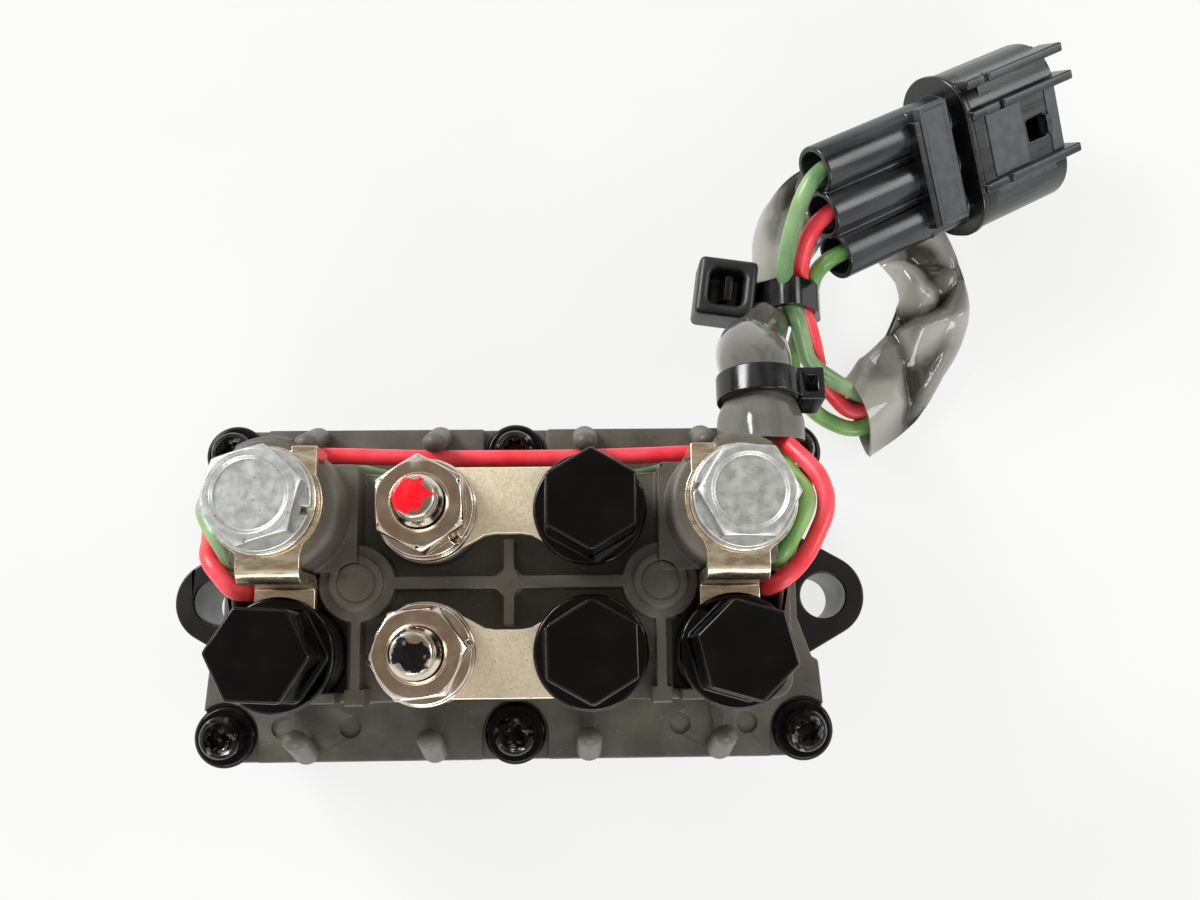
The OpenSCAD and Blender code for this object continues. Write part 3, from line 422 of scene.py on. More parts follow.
# %% Sleeve route
SLEEVE_ROUTE = [
    [32.6, 18.6, 44.2, 11.4, 7.6], [32.6, 21.5, 44.4, 11, 7.8], [32.7, 24.3, 44.2, 9, 8.4],
    [32.6, 27, 43.4, 9, 8.4], [32.7, 29.6, 41.2, 10.2, 9.2], [33.1, 32.3, 36.8, 10.4, 9.2],
    [34.3, 35.4, 29.6, 9.6, 8.6], [36.6, 39, 20.8, 8.2, 7.8], [38.9, 43.4, 13.4, 7.4, 7.4],
    [40.6, 47.8, 9.6, 7, 7], [41.9, 52, 7.2, 7.8, 6.8], [43, 56.4, 5.2, 9.2, 6],
    [44.6, 61, 3.6, 11, 4.6], [47.2, 65.4, 2.2, 12.4, 3.6], [51.6, 68.9, 1.65, 12.8, 3.1],
    [57.2, 69.3, 1.65, 12.8, 3.1], [62.4, 66.4, 1.65, 12.8, 3.1], [66.4, 61.2, 1.65, 12.8, 3.1],
    [69, 55.4, 2.4, 12.4, 4.6], [69.6, 49.4, 2.8, 11.6, 5.2], [67.4, 43.2, 2.7, 12.4, 5],
    [63.4, 37.6, 2.6, 13, 4.8], [59.4, 33.4, 2.6, 13.4, 4.8], [55.6, 30.2, 2.6, 13.4, 4.8],
]
STEPS = 14
sleeve_line = smooth_route(SLEEVE_ROUTE, STEPS)
sleeve_length = route_length(sleeve_line)
print("the sleeve is", round(sleeve_length), "mm long")

# %% Sleeve shell
AROUND = 60
WALL = 0.4
# the near mouth: how far it reaches in mm, and how much higher it stands there
NEAR_REACH = 5
NEAR_FLARE = 0.8
# the far mouth, which is cut at a slant
FAR_REACH = 9.0
FAR_FLARE = 1.8
MOUTH_SLANT = -0.45
FAR_CALM = 0.75
# the tie gathers the round part into pleats
TIE_AT = 7.1
TIE_REACH = 5
PLEATS = 4
PLEAT_SHARE = 0.012
TIE_PLEAT_SHARE = 0.05
PLEAT_TWIST = 0.3
# where the flat part starts, how soon it is flat, and how its edges wander
FLAT_FROM = 56.0
FLAT_OVER = 14
EDGE_GAP = 15.5
EDGE_SHARE = 0.06
# its upper wall swells towards the edges and sags, and painted shade darkens it in its folds
SWELL = 0.7
SAG = 0.1
FOLD_SHADE = 2.0
# the inner wall keeps at least this share of the outer one's size
LEAST = 0.1
# painted shade: the neck is painted darker than the loop
NECK_SHADE = 0.62
NECK_END = 62
NECK_FADE = 22
# each fold: run along and across the sleeve, mm between ridges, where it starts, share of the height
FOLDS = [(0.22, 1.0, 9.5, 0.2, 0.3), (1.0, 0.8, 24.0, 0.55, 0.3), (0.8, -1.3, 15.0, 0.1, 0.16)]
# each kink: place along the sleeve, slant, depth as a share of the height, half-width in mm
KINKS = [(72.0, 0.6, 0.3, 1.6), (84.5, -0.7, 0.35, 1.4), (98.5, 0.5, 0.4, 1.5), (107.5, -0.9, 0.7, 1.6),
         (111.0, -0.75, -0.35, 1.8), (119.0, 0.9, 0.3, 1.2)]


def ridge(x):
    """A wave of straight slopes between sharp ridges, from -1 to 1."""
    return 4 * abs(x % 1 - 0.5) - 1


def clamp(x):
    """The value kept between 0 and 1."""
    return max(0.0, min(1.0, x))


def sleeve_ring(line, i, run, inset):
    """The points of one ring and the painted shade at each, from the folds and the neck."""
    here = Vector(line[i][:3])
    ahead = Vector(line[min(i + 1, len(line) - 1)][:3]) - Vector(line[max(i - 1, 0)][:3])
    ahead.normalize()
    side = ahead.cross(Vector((0, 0, 1))).normalized()
    top = side.cross(ahead)
    width, height = line[i][3:5]
    flat = clamp((run - FLAT_FROM) / FLAT_OVER)
    neck = clamp((NECK_END - run) / NECK_FADE)
    near_mouth = clamp(1 - run / NEAR_REACH)
    far_mouth = clamp(1 - (sleeve_length - run) / FAR_REACH)
    pleated = PLEAT_SHARE + TIE_PLEAT_SHARE * math.exp(-abs(run - TIE_AT) / TIE_REACH)
    points = []
    shade_levels = []
    for k in range(AROUND):
        turn = 2 * math.pi * k / AROUND
        across, rise = math.cos(turn), math.sin(turn)
        out = across * width / 2
        lift = rise * height / 2
        crumple = sum(deep * ridge((a * run + b * out) / gap + start) for a, b, gap, start, deep in FOLDS)
        crumple -= sum(deep * math.exp(-abs(run + slant * out - spot) / half)
                       for spot, slant, deep, half in KINKS)
        crumple *= 1 - FAR_CALM * far_mouth
        upper = max(rise, 0.0) ** SWELL
        edge = 1 + flat * EDGE_SHARE * ridge(run / EDGE_GAP) * abs(across)
        pleat = (1 - flat) * pleated * math.sin(PLEATS * turn + run * PLEAT_TWIST)
        lift *= 1 + pleat + (NEAR_FLARE * near_mouth + FAR_FLARE * far_mouth) * upper
        lift += flat * upper * (crumple - SAG) * height
        out *= edge * (1 + pleat)
        keep = max(LEAST, 1 - inset / (math.hypot(out, lift) or 1))
        slanted = ahead * out * MOUTH_SLANT * far_mouth
        points.append((here + slanted + (side * out + top * lift) * keep) * MM)
        # painted shade: darker down in the folds of the flat part's upper wall, and on the neck
        shade_levels.append(clamp(SAG - FOLD_SHADE * crumple) * flat * upper + neck * NECK_SHADE)
    return points, shade_levels


def build_sleeve():
    """Outer rings along the route and inner ones back, as one closed wall."""
    last = len(sleeve_line) - 1
    runs = [route_length(sleeve_line[:i + 1]) for i in range(last + 1)]
    order = [(i, 0) for i in range(last + 1)] + [(i, WALL) for i in range(last, -1, -1)]
    rings = [sleeve_ring(sleeve_line, i, runs[i], inset) for i, inset in order]
    total = len(rings)
    faces = [(i * AROUND + k, i * AROUND + (k + 1) % AROUND,
              (i + 1) % total * AROUND + (k + 1) % AROUND, (i + 1) % total * AROUND + k)
             for i in range(total) for k in range(AROUND)]
    mesh = bpy.data.meshes.new("sleeve")
    mesh.from_pydata([p for points, shade_levels in rings for p in points], [], faces)
    # the painted shade of each point, read by the material
    painted_shade = mesh.attributes.new("painted_shade", "FLOAT", "POINT")
    painted_shade.data.foreach_set("value", [d for points, shade_levels in rings for d in shade_levels])
    piece = add_object("sleeve", mesh)
    edit_all(piece)
    bpy.ops.mesh.normals_make_consistent(inside=False)
    object_mode()
    return piece


sleeve = settle(build_sleeve(), "grey_sleeve", sleeve_vinyl, "harness_sleeve",
                smooth=SLEEVE_SMOOTH)
print("sleeve faces", len(sleeve.data.polygons))

# %% Three wires to the connector
WIRE_R = 1.35
PALE_GREEN_ROUTE = [
    [57, 33.6, 3.6], [54.2, 34.4, 5], [50.6, 35.7, 7.4], [46.6, 38.2, 9.6], [45, 41.4, 12.4],
    [43.6, 44.4, 15.2], [42.1, 47.6, 16.4], [41.6, 50.6, 17.8], [42, 54.4, 19.9], [42.9, 58.2, 22],
    [44.1, 61.4, 23.6], [46.1, 64.4, 23.9], [49.9, 67.1, 22.8], [53.8, 69.1, 21.7],
]
RED_ROUTE = [
    [57.4, 31.4, 2.6], [54.8, 31.4, 2.4], [51.6, 34, 3.2], [49.4, 36.6, 4.6], [48.6, 39.2, 6.2],
    [47.2, 42.4, 9.4], [45.8, 45.4, 12], [44.9, 48.2, 13.8], [44.5, 51, 15.6], [44.8, 54.2, 17.8],
    [45.9, 56.9, 19.8], [48.3, 59.3, 20.6], [52, 61.4, 19.5], [55.9, 63.5, 18.4],
]
GREEN_ROUTE = [
    [58, 29.2, 2.4], [55.2, 28.4, 2.2], [51.6, 29.4, 2.2], [48, 31.8, 2.8], [45.6, 34.8, 4],
    [44.5, 38.6, 5.6], [45.2, 42.6, 7], [46.3, 46.4, 9], [46.7, 49.2, 11.8], [47.2, 51.4, 14.6],
    [48.7, 52.8, 16.8], [51.4, 54.3, 17], [54.1, 55.7, 16.2], [58, 57.8, 15.1],
]


def soft_wire(name, route, radius, material, node):
    """A round wire on a smooth curve through the route's points."""
    shape = bpy.data.curves.new(name, "CURVE")
    shape.dimensions = "3D"
    shape.bevel_depth = radius * MM
    shape.bevel_resolution = 6
    shape.resolution_u = 8
    shape.use_fill_caps = True
    line = shape.splines.new("BEZIER")
    line.bezier_points.add(len(route) - 1)
    for point, place in zip(line.bezier_points, route):
        point.co = Vector(place) * MM
        point.handle_left_type = point.handle_right_type = "AUTO"
    shape.materials.append(material)
    wire = add_object(name, shape)
    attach(wire, "case")
    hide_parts(node)
    return wire


wires = [
    soft_wire("pale_green_lead_wire", PALE_GREEN_ROUTE, WIRE_R, pale_green_vinyl,
              "pale_green_wire"),
    soft_wire("red_lead_wire", RED_ROUTE, WIRE_R, red_vinyl, "red_wire"),
    soft_wire("green_lead_wire", GREEN_ROUTE, WIRE_R, green_vinyl, "green_wire"),
]

# %% Leads on the cover
LEAD_R = 1.1
LEFT_RED = [
    [31, 20.6, 44.8], [28.4, 18.6, 41.8], [26.4, 17.9, 40.9], [22, 17.7, 40.7], [12, 17.4, 40.6],
    [0, 17.3, 40.6], [-12, 17.4, 40.6], [-22, 17.7, 40.7], [-28.6, 17.9, 41.1], [-31.4, 18.2, 41.6],
    [-34, 17.8, 42.4], [-36.4, 15.6, 43.8], [-37.2, 13, 45.4], [-37.6, 10.4, 47.4], [-37.1, 8, 49.4],
    [-36.2, 5.4, 52.6], [-35.3, 2.8, 55.6], [-33.6, 0.7, 56.4], [-32.2, -0.8, 56], [-31.4, -0.9, 54.2],
    [-31.3, -0.8, 51], [-31.3, -0.8, 45.6],
]
LEFT_GREEN = [
    [31, 20.6, 42], [28.4, 18.3, 38.6], [25.4, 17.7, 37.8], [22, 16.5, 37.4], [17, 15.2, 37.4],
    [12, 14.95, 37.4], [0, 14.93, 37.4], [-12, 14.95, 37.4], [-17, 15.2, 37.4], [-22, 16.5, 37.4],
    [-25.4, 17.7, 37.6], [-28.4, 17.7, 38.2], [-30.8, 17, 39.2], [-32, 16.3, 40.4], [-33.2, 15.6, 42.6],
    [-34.6, 15.4, 45.2], [-35.8, 13.2, 49], [-36.3, 10.8, 52.4], [-36.2, 8.8, 55.4], [-34.9, 6.6, 57],
    [-33.7, 4.9, 57.6], [-32.8, 3, 56.4], [-32.6, 2.2, 54.6], [-32.6, 2.2, 51],
]
RIGHT_RED = [
    [34, 20.6, 45.4], [35.2, 17.6, 48.8], [37.6, 14.2, 51.4], [38.5, 12.2, 52.8], [38.6, 8.8, 54.6],
    [37.2, 5.4, 55.6], [34.9, 1.8, 56.2], [32.8, -0.1, 55.8], [31.6, -0.8, 54.2], [31.3, -0.8, 51],
    [31.3, -0.8, 45.6],
]
RIGHT_GREEN = [
    [33, 20.6, 43], [33.9, 17.4, 45.4], [35.5, 13.6, 49.6], [36.4, 10.4, 53.6], [35.6, 8, 56.4],
    [34.4, 5.8, 56.9], [33.4, 4, 56.8], [32.7, 2.8, 56], [32.6, 2.2, 54.4], [32.6, 2.2, 51],
]
soft_wire("left_red_cover_lead", LEFT_RED, LEAD_R, red_vinyl, "left_red_lead")
soft_wire("right_red_cover_lead", RIGHT_RED, LEAD_R, red_vinyl, "right_red_lead")
soft_wire("left_green_cover_lead", LEFT_GREEN, LEAD_R, pale_green_vinyl, "left_green_lead")
soft_wire("right_green_cover_lead", RIGHT_GREEN, LEAD_R, green_vinyl, "right_green_lead")
print("four leads on the cover")

# %% [markdown]
# ## Case and cover
# Both are injection mouldings. Their shapes are right in the CAD model, so only the mould's small edge
# radii are added. A Bevel node would fake them in the shader alone. Real bevels also show in outline.

# %% Case and cover shells
settle(merged_copy("base_housing"), "case_shell", case_pbt, "base_housing", radius=0.3)
# the cover's small buttons and marks, alike on each side
BUTTON_X = 18.3
BUTTON_FROM_Z = 54
BUTTON_REACH = 2.7
MARK_X = (21.8, 30.7)
MARK_Y = 17.7
MARK_TO_Z = 36
MARK_REACH = 1.8
SMALL_SHARE = 0.25


def mould_share(middle):
    """Share of the edge radius: small marks and grooves keep nearly sharp edges."""
    x, y, z = abs(middle.x) / MM, abs(middle.y) / MM, middle.z / MM
    near_button = math.hypot(x - BUTTON_X, y) < BUTTON_REACH and z > BUTTON_FROM_Z
    near_mark = min(math.hypot(x - mark, y - MARK_Y) for mark in MARK_X) < MARK_REACH and z < MARK_TO_Z
    return SMALL_SHARE if near_button or near_mark else 1.0


# each hook: its place along x, and its side of the cover
HOOKS = [(-27, 1), (-10.3, 1), (9.5, 1), (25.5, 1), (-27.3, -1), (-10.5, -1), (9.7, -1), (26.9, -1)]
HOOK_HALF_X = 1.5
HOOK_FROM_Y = 17.6
HOOK_FROM_Z = 36.2
HOOK_FOOT = (20.3, 35.8)
HOOK_SLIM = (0.3, 0.6, 0.9)
cover = merged_copy("top_cover", 0)
for x, side in HOOKS:
    pick_faces(cover, lambda centre, normal: abs(centre.x / MM - x) < HOOK_HALF_X
               and side * centre.y / MM > HOOK_FROM_Y and centre.z / MM > HOOK_FROM_Z)
    foot = (x * MM, side * HOOK_FOOT[0] * MM, HOOK_FOOT[1] * MM)
    bpy.ops.transform.resize(value=HOOK_SLIM, center_override=foot)
    object_mode()
settle(cover, "cover_shell", cover_nylon, "top_cover", radius=0.22, share=mould_share)
print("cover faces", len(cover.data.polygons))

# %% [markdown]
# ## Fingers of the wire hooks
# The flange has eight blunt fingers that hold the leads against the deck. In the CAD model they are
# flat profiles, which were made slim above. The moulded ones have round noses, so each gets a body
# made from one sphere: its lower half is picked and drawn down to the flange, which leaves a leaning,
# tapered post with a round top.

# %% Hook fingers
FINGER_R = 1.6
FINGER_TOP_Z = 43.6
FINGER_Y = 18.95
FINGER_FORM = (1, 0.82, 1.05)
# the lower part of the sphere is spread and drawn down
LOWER_SHARE = 0.3
FINGER_SPREAD = (1.12, 1.25, 1)
FINGER_DROP = (0, 1.9 * MM, -6.7 * MM)
deselect_all()
bpy.ops.mesh.primitive_uv_sphere_add(segments=24, ring_count=12, radius=FINGER_R * MM, scale=FINGER_FORM)
finger = bpy.context.object
bpy.ops.object.transform_apply(location=True, rotation=True, scale=True)
pick_faces(finger, lambda centre, normal: centre.z < -LOWER_SHARE * FINGER_R * MM)
bpy.ops.transform.resize(value=FINGER_SPREAD, center_override=(0, 0, -FINGER_R * MM))
bpy.ops.transform.translate(value=FINGER_DROP)
object_mode()
for count, (x, side) in enumerate(HOOKS, 1):
    post = add_object("finger", finger.data.copy())
    post.rotation_euler.z = 0 if side > 0 else math.pi
    post.location = Vector((x, side * FINGER_Y, FINGER_TOP_Z)) * MM
    settle(post, f"hook_finger_{count}", cover_nylon, "top_cover")
bpy.data.objects.remove(finger)
print("fingers", len(HOOKS))

# %% [markdown]
# ## Battery studs
# A stud is turned from brass bar, with a rolled thread and a plain round tip. It could be a screw
# modifier on a profile. Here it grows ring by ring, as a lathe cuts it: a disc is extruded and scaled
# again and again. The thread's lead angle is only three degrees, so plain rings stand for it.

# %% Lathe helper
LATHE_SIDES = 48


def turned(name, x, y, rings):
    """A round piece on a vertical axis through the given (radius, height) pairs, in millimetres."""
    deselect_all()
    low_r, low_z = rings[0]
    bpy.ops.mesh.primitive_circle_add(vertices=LATHE_SIDES, radius=low_r * MM, fill_type="NGON",
                                      location=(x * MM, y * MM, low_z * MM))
    piece = bpy.context.object
    piece.name = name
    edit_all(piece)
    for (r0, z0), (r1, z1) in zip(rings, rings[1:]):
        bpy.ops.mesh.extrude_region_move(TRANSFORM_OT_translate={"value": (0, 0, (z1 - z0) * MM)})
        bpy.ops.transform.resize(value=(r1 / r0, r1 / r0, 1), center_override=(x * MM, y * MM, z1 * MM))
    bpy.ops.mesh.select_all(action="SELECT")
    bpy.ops.mesh.normals_make_consistent(inside=False)
    object_mode()
    return piece


print("lathe helper ready")

# %% Two studs with their marks
ROW_Y = 8.5
COL_IN = 9.8
COL_OUT = 27.0
NUT_TOP = 63.2
STUD_TOP = 67.8
THREAD_R = 3.0
CREST_R = 2.94
ROOT_R = 2.62
# each ring of thread: a narrow root, a flank up to the crest, and a crest as narrow as the root
LAND = 0.12
FLANK = 0.38
thread = []
for root_z in (NUT_TOP + 0.1, NUT_TOP + 1.1):
    crest_z = root_z + LAND + FLANK
    thread += [(ROOT_R, root_z), (ROOT_R, root_z + LAND), (CREST_R, crest_z), (CREST_R, crest_z + LAND)]
STUD_RINGS = ([(4.1, 42.5), (4.2, 42.6), (4.2, 45), (THREAD_R - 0.02, 45), (THREAD_R - 0.02, 62.6)] + thread
              + [(ROOT_R, 65.3), (2.46, 65.7), (2.4, 66.1), (2.4, STUD_TOP - 0.36), (2.34, STUD_TOP - 0.18),
                 (2.2, STUD_TOP - 0.05), (2.0, STUD_TOP)])
for name, y, finish, node in (("positive_battery_stud", ROW_Y, red_marked, "positive_stud"),
                              ("negative_battery_stud", -ROW_Y, black_marked, "negative_stud")):
    settle(turned(name, -COL_IN, y, STUD_RINGS), name, finish, node)
print("rings on each stud", len(STUD_RINGS))

# %% [markdown]
# ## Pressed and moulded small parts
# Nuts, washers, bars, straps, caps and ties are pressed or moulded. Each gets a small edge radius, so
# that its rim shows as a thin bright line, as it does on the real ones.

# %% Softened parts
# a radius above this one is rounded in three steps
WIDE_RADIUS = 0.3
for node, name, material, slot, radius in (
        ("positive_bus_bar", "positive_bar", bar_plate, "bus", 0.15),
        ("negative_bus_bar", "negative_bar", bar_plate, "bus", 0.15),
        ("left_motor_strap", "left_strap", strap_plate, "nickel", 0.12),
        ("right_motor_strap", "right_strap", strap_plate, "nickel", 0.12),
        ("terminal_nuts", "battery_nuts", nickel_plate, "nickel", 0.18),
        ("terminal_flat_washers", "battery_flat_washers", nickel_plate, "nickel", 0.25),
        ("terminal_spring_washers", "battery_spring_washers", nickel_plate, "nickel", 0.25),
        ("motor_bolt_spring_washers", "bolt_spring_washers", zinc_coat, "zinc", 0.25),
        ("motor_bolt_flat_washers", "bolt_flat_washers", nickel_plate, "nickel", 0.25),
        ("case_screws", "cover_screws", black_zinc, "black_steel", 0.12),
        ("case_screw_washers", "cover_screw_washers", black_washer, "black_steel", 0.12),
        ("positive_cap", "positive_stud_cap", cap_vinyl, "cap", 0.4),
        ("negative_cap", "negative_stud_cap", cap_vinyl, "cap", 0.4),
        ("left_motor_cap", "left_stud_cap", cap_vinyl, "cap", 0.4),
        ("right_motor_cap", "right_stud_cap", cap_vinyl, "cap", 0.4),
        ("sleeve_tie", "sleeve_cable_tie", tie_nylon, "cap", 0.25)):
    settle(merged_copy(node), name, material, node, radius=radius,
           segments=3 if radius > WIDE_RADIUS else 2)
print("softened pieces done")

# %% [markdown]
# ## Motor bolts
# The bolt heads are cold-forged: a hexagon with a shallow dish on top, and hot-dip zinc over all. The
# real dish carries a stamped mark. Here a plain raised ring, inset and extruded, takes its place.

# %% Bolt heads
HEAD_TOP = 69.8
DISH_Z = HEAD_TOP - 0.45
DISH_R = 3.5
RING_IN = 1.5
RING_WIDE = 0.5
RING_FACES = (1.9, 2.4)
RING_UP = 0.3
NEAR_Z = 0.05
LEVEL = 0.9


def looks_up(centre, normal):
    """A test for level faces that look up."""
    return normal.z > LEVEL


def on_dish(low, high):
    """A test for level faces of the dishes whose middle lies between two radii, in millimetres."""
    def wanted(centre, normal):
        away = math.hypot(abs(centre.x) / MM - COL_OUT, centre.y / MM - ROW_Y)
        return looks_up(centre, normal) and abs(centre.z / MM - DISH_Z) < NEAR_Z and low <= away <= high
    return wanted


bolts = merged_copy("motor_bolts")
pick_faces(bolts, on_dish(0, DISH_R))
bpy.ops.mesh.inset(thickness=RING_IN * MM)
bpy.ops.mesh.inset(thickness=RING_WIDE * MM)
object_mode()
pick_faces(bolts, on_dish(*RING_FACES))
bpy.ops.mesh.extrude_region_move(TRANSFORM_OT_translate={"value": (0, 0, RING_UP * MM)})
object_mode()
settle(bolts, "motor_bolt_heads", zinc_coat, "motor_bolts", radius=0.14)
print("bolt head faces", len(bolts.data.polygons))

# %% [markdown]
# ## Wide cable tie
# The tie round the sleeve and the wires is one moulding: a ribbed band and a head with a slot, where a
# small pawl holds the band's teeth. The band is cut from the CAD shape with a bisect. The head is a
# block whose top is inset and pushed down, and its corners are rounded far more than the band's.

# %% Tie band
HEAD_EDGE = 36.4
tie_band = merged_copy("bundle_tie")
edit_all(tie_band)
bpy.ops.mesh.bisect(plane_co=(HEAD_EDGE * MM, 0, 0), plane_no=(1, 0, 0), clear_inner=True, use_fill=True)
object_mode()
settle(tie_band, "bundle_tie_band", tie_nylon, "bundle_tie", radius=0.2)
print("band from x =", HEAD_EDGE, "mm")

# %% Tie head with its pawl
def block(name, low, high):
    """A block between two corners, in millimetres."""
    deselect_all()
    bpy.ops.mesh.primitive_cube_add(size=1, location=[(a + b) / 2 * MM for a, b in zip(low, high)],
                                    scale=[(b - a) * MM for a, b in zip(low, high)])
    made = bpy.context.object
    made.name = name
    bpy.ops.object.transform_apply(location=True, rotation=True, scale=True)
    return made


HEAD_AT = Vector((32.5, 48.6, 13)) * MM
HEAD_ANGLE = math.radians(-8)
HEAD_RIM = 2.0
SLOT_DEEP = 4.8
PAWL_LEAN = 0.7
head_turn = (Matrix.Translation(HEAD_AT) @ Matrix.Rotation(HEAD_ANGLE, 4, "Z")
             @ Matrix.Translation(-HEAD_AT))
tie_head = block("tie_head", (27.8, 43.8, 9), (37.2, 53.4, 17))
pick_faces(tie_head, looks_up)
bpy.ops.mesh.inset(thickness=HEAD_RIM * MM)
bpy.ops.mesh.extrude_region_move(TRANSFORM_OT_translate={"value": (0, 0, -SLOT_DEEP * MM)})
object_mode()
tie_head.data.transform(head_turn)
settle(tie_head, "bundle_tie_head", head_nylon, "bundle_tie", radius=0.9, segments=3)
pawl = block("tie_pawl", (31.5, 46.6, 12.6), (32.7, 50.6, 16.2))
pick_faces(pawl, looks_up)
bpy.ops.transform.translate(value=(PAWL_LEAN * MM, 0, 0))
object_mode()
pawl.data.transform(head_turn)
settle(pawl, "bundle_tie_pawl", tie_nylon, "bundle_tie", radius=0.25)
print("tie head", [round(v / MM, 1) for v in tie_head.dimensions])

# %% [markdown]
# ## The connector
# The plug is moulded in black PBT: three tubes for the wires, a collar, and an oval shroud with three
# guide rails and a latch window. The shroud's end rests on the table and the wires hold the other end
# up, so details are modelled straight in the plug's own frame and then put in place with one matrix.

# %% Plug frame and finishes
PLUG_AT = Vector((80.25, 76.5, 11.5)) * MM
PLUG_U = Vector((0.8557, 0.4575, -0.2419))
PLUG_V = Vector((-0.3043, 0.823, 0.4797))
PLUG_W = Vector((0.4185, -0.3369, 0.8434))
FLOW_SIZE = 1.8
SHEEN_RANGE = 0.16
PLUG_GRAIN = 0.3
PLUG_RELIEF = 0.012
plug_turn = Matrix((PLUG_U, PLUG_V, PLUG_W)).transposed()


def satin_pbt(name, dark, light, rough, streak, band=None):
    """Moulded PBT whose flow marks run along the plug, drawn in the plug's own directions.

    A band is black: its middle along the plug and its half-width, in mm."""
    made, tree, place = start_material(name)
    away = add_node(tree, "VectorMath", {0: place, 1: PLUG_AT}, operation="SUBTRACT")
    runs = [add_node(tree, "VectorMath", {0: away, 1: axis / stretch}, operation="DOT_PRODUCT")
            for axis, stretch in ((PLUG_U, streak), (PLUG_V, 1), (PLUG_W, 1))]
    drawn = add_node(tree, "CombineXYZ", dict(zip("XYZ", runs)))
    flow = add_node(tree, "TexNoise", {"Vector": drawn, "Scale": per_mm(FLOW_SIZE), "Detail": 5})
    patch = add_node(tree, "MapRange", {"Value": flow, "From Min": 0.38, "From Max": 0.66})
    colour = add_node(tree, "Mix", {"Factor": patch, "A": linear(dark), "B": linear(light)},
                      data_type="RGBA")
    if band:
        middle, half = band
        inside = add_node(tree, "Math", {0: runs[0], 1: middle * MM / streak, 2: half * MM / streak},
                          operation="COMPARE")
        colour = add_node(tree, "Mix", {"Factor": inside, "A": colour, "B": linear("#060606")},
                          data_type="RGBA")
    sheen = add_node(tree, "MapRange", {"Value": flow, "From Min": 0.3, "From Max": 0.7,
                                        "To Min": rough, "To Max": rough + SHEEN_RANGE})
    grain = add_node(tree, "TexNoise", {"Vector": drawn, "Scale": per_mm(PLUG_GRAIN), "Detail": 2})
    finish_material(tree, grain, PLUG_RELIEF, {"Base Color": colour, "Roughness": sheen, "IOR": 1.6})
    return made


# the body has a worn satin sheen with a black collar, the plate is rougher and greyer, and the comb
# is polished
plug_body = satin_pbt("satin_plug_pbt", "#08090a", "#313538", 0.2, 8, band=(-11.7, 1.75))
plug_plate = satin_pbt("textured_plug_pbt", "#34373a", "#45494c", 0.3, 1)
plug_gloss = satin_pbt("polished_plug_pbt", "#070707", "#101011", 0.16, 4)
print("plug finishes:", plug_body.name, plug_plate.name, plug_gloss.name)

# %% Plug body and retainer plate
PLATE_RIM = 0.7
PLATE_SINK = 0.3
housing = settle(merged_copy("connector_housing"), "plug_housing", plug_body, "connector_housing",
                 radius=0.3)
plate = merged_copy("connector_retainer")
pick_faces(plate, lambda centre, normal: normal.dot(PLUG_W) > LEVEL)
bpy.ops.mesh.inset(thickness=PLATE_RIM * MM)
bpy.ops.mesh.extrude_region_move(TRANSFORM_OT_translate={"value": PLUG_W * -PLATE_SINK * MM})
object_mode()
settle(plate, "plug_retainer", plug_plate, "connector_retainer", radius=0.2)
print("plug body and plate")

# %% Plug details in the plug's own frame
def plug_detail(name, low, high, radius, material, lean=0.0):
    """A rounded block in the plug's frame. Its upper face may lean forward by some millimetres."""
    made = block(name, low, high)
    if lean:
        pick_faces(made, looks_up)
        bpy.ops.transform.translate(value=(lean * MM, 0, 0))
        object_mode()
    made.matrix_world = Matrix.Translation(PLUG_AT) @ plug_turn.to_4x4()
    settle(made, name, material, "connector_housing", radius=radius)


plug_detail("plug_ledge", (-9.4, 7.6, 4), (5.5, 10.8, 6.7), 0.2, plug_body)
plug_detail("plug_panel_rear", (-9.4, -4.1, 6.6), (-2.0, 5.9, 7.35), 0.12, plug_plate)
plug_detail("plug_panel_front", (3.4, -4.1, 6.6), (5.6, 5.9, 7.3), 0.12, plug_plate)
plug_detail("plug_panel_low", (-9.4, -6.9, 6), (3.5, -5.9, 7.15), 0.12, plug_plate)
plug_detail("plug_latch", (2.7, -0.9, 6.6), (3.8, 2.2, 7.9), 0.15, plug_body, -0.4)
plug_detail("plug_comb", (-21.9, -8.3, 1.5), (-20.7, 8.9, 5.5), 0.15, plug_gloss)
print("plug details")

# %% [markdown]
# ## Parts that stay as the CAD model has them
# The contactors inside the case are seldom seen, and their shapes are already right, so they only get
# their finishes.

# %% Finishes for the carried-over nodes
INNER = {
    "cover_gasket": gasket_nitrile, "motor_bolt_inserts": insert_brass, "bus_studs": nickel_plate,
    "contact_studs": nickel_plate, "cap_nuts": spring_steel, "coil_bobbins": former_nylon,
    "coil_windings": contact_copper, "coil_yokes": soft_iron, "pole_plates": soft_iron,
    "coil_cores": soft_iron, "left_plunger": soft_iron, "right_plunger": soft_iron,
    "left_contact_carrier": former_nylon, "right_contact_carrier": former_nylon,
    "left_spring_clip": spring_steel, "right_spring_clip": spring_steel,
    "left_moving_contact": contact_copper, "right_moving_contact": contact_copper,
    "positive_contacts": contact_copper, "negative_contacts": contact_copper,
    "motor_contacts": contact_copper, "connector_pins": nickel_plate, "wire_seals": green_vinyl,
}
for name, material in INNER.items():
    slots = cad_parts[name].data.materials
    slots.clear()
    slots.append(material)
print("nodes with a new finish", len(INNER))

# %% [markdown]
# ## Springs
# A spring can't ride on one body, because its ends follow two parts. A return spring stands in the core
# A return spring stands in the core and is pressed by the plunger. A contact spring hangs from the clip
# and is pressed by the contact. Here a return spring rides on the case and a contact spring on its
# plunger, each with a mesh of its own.

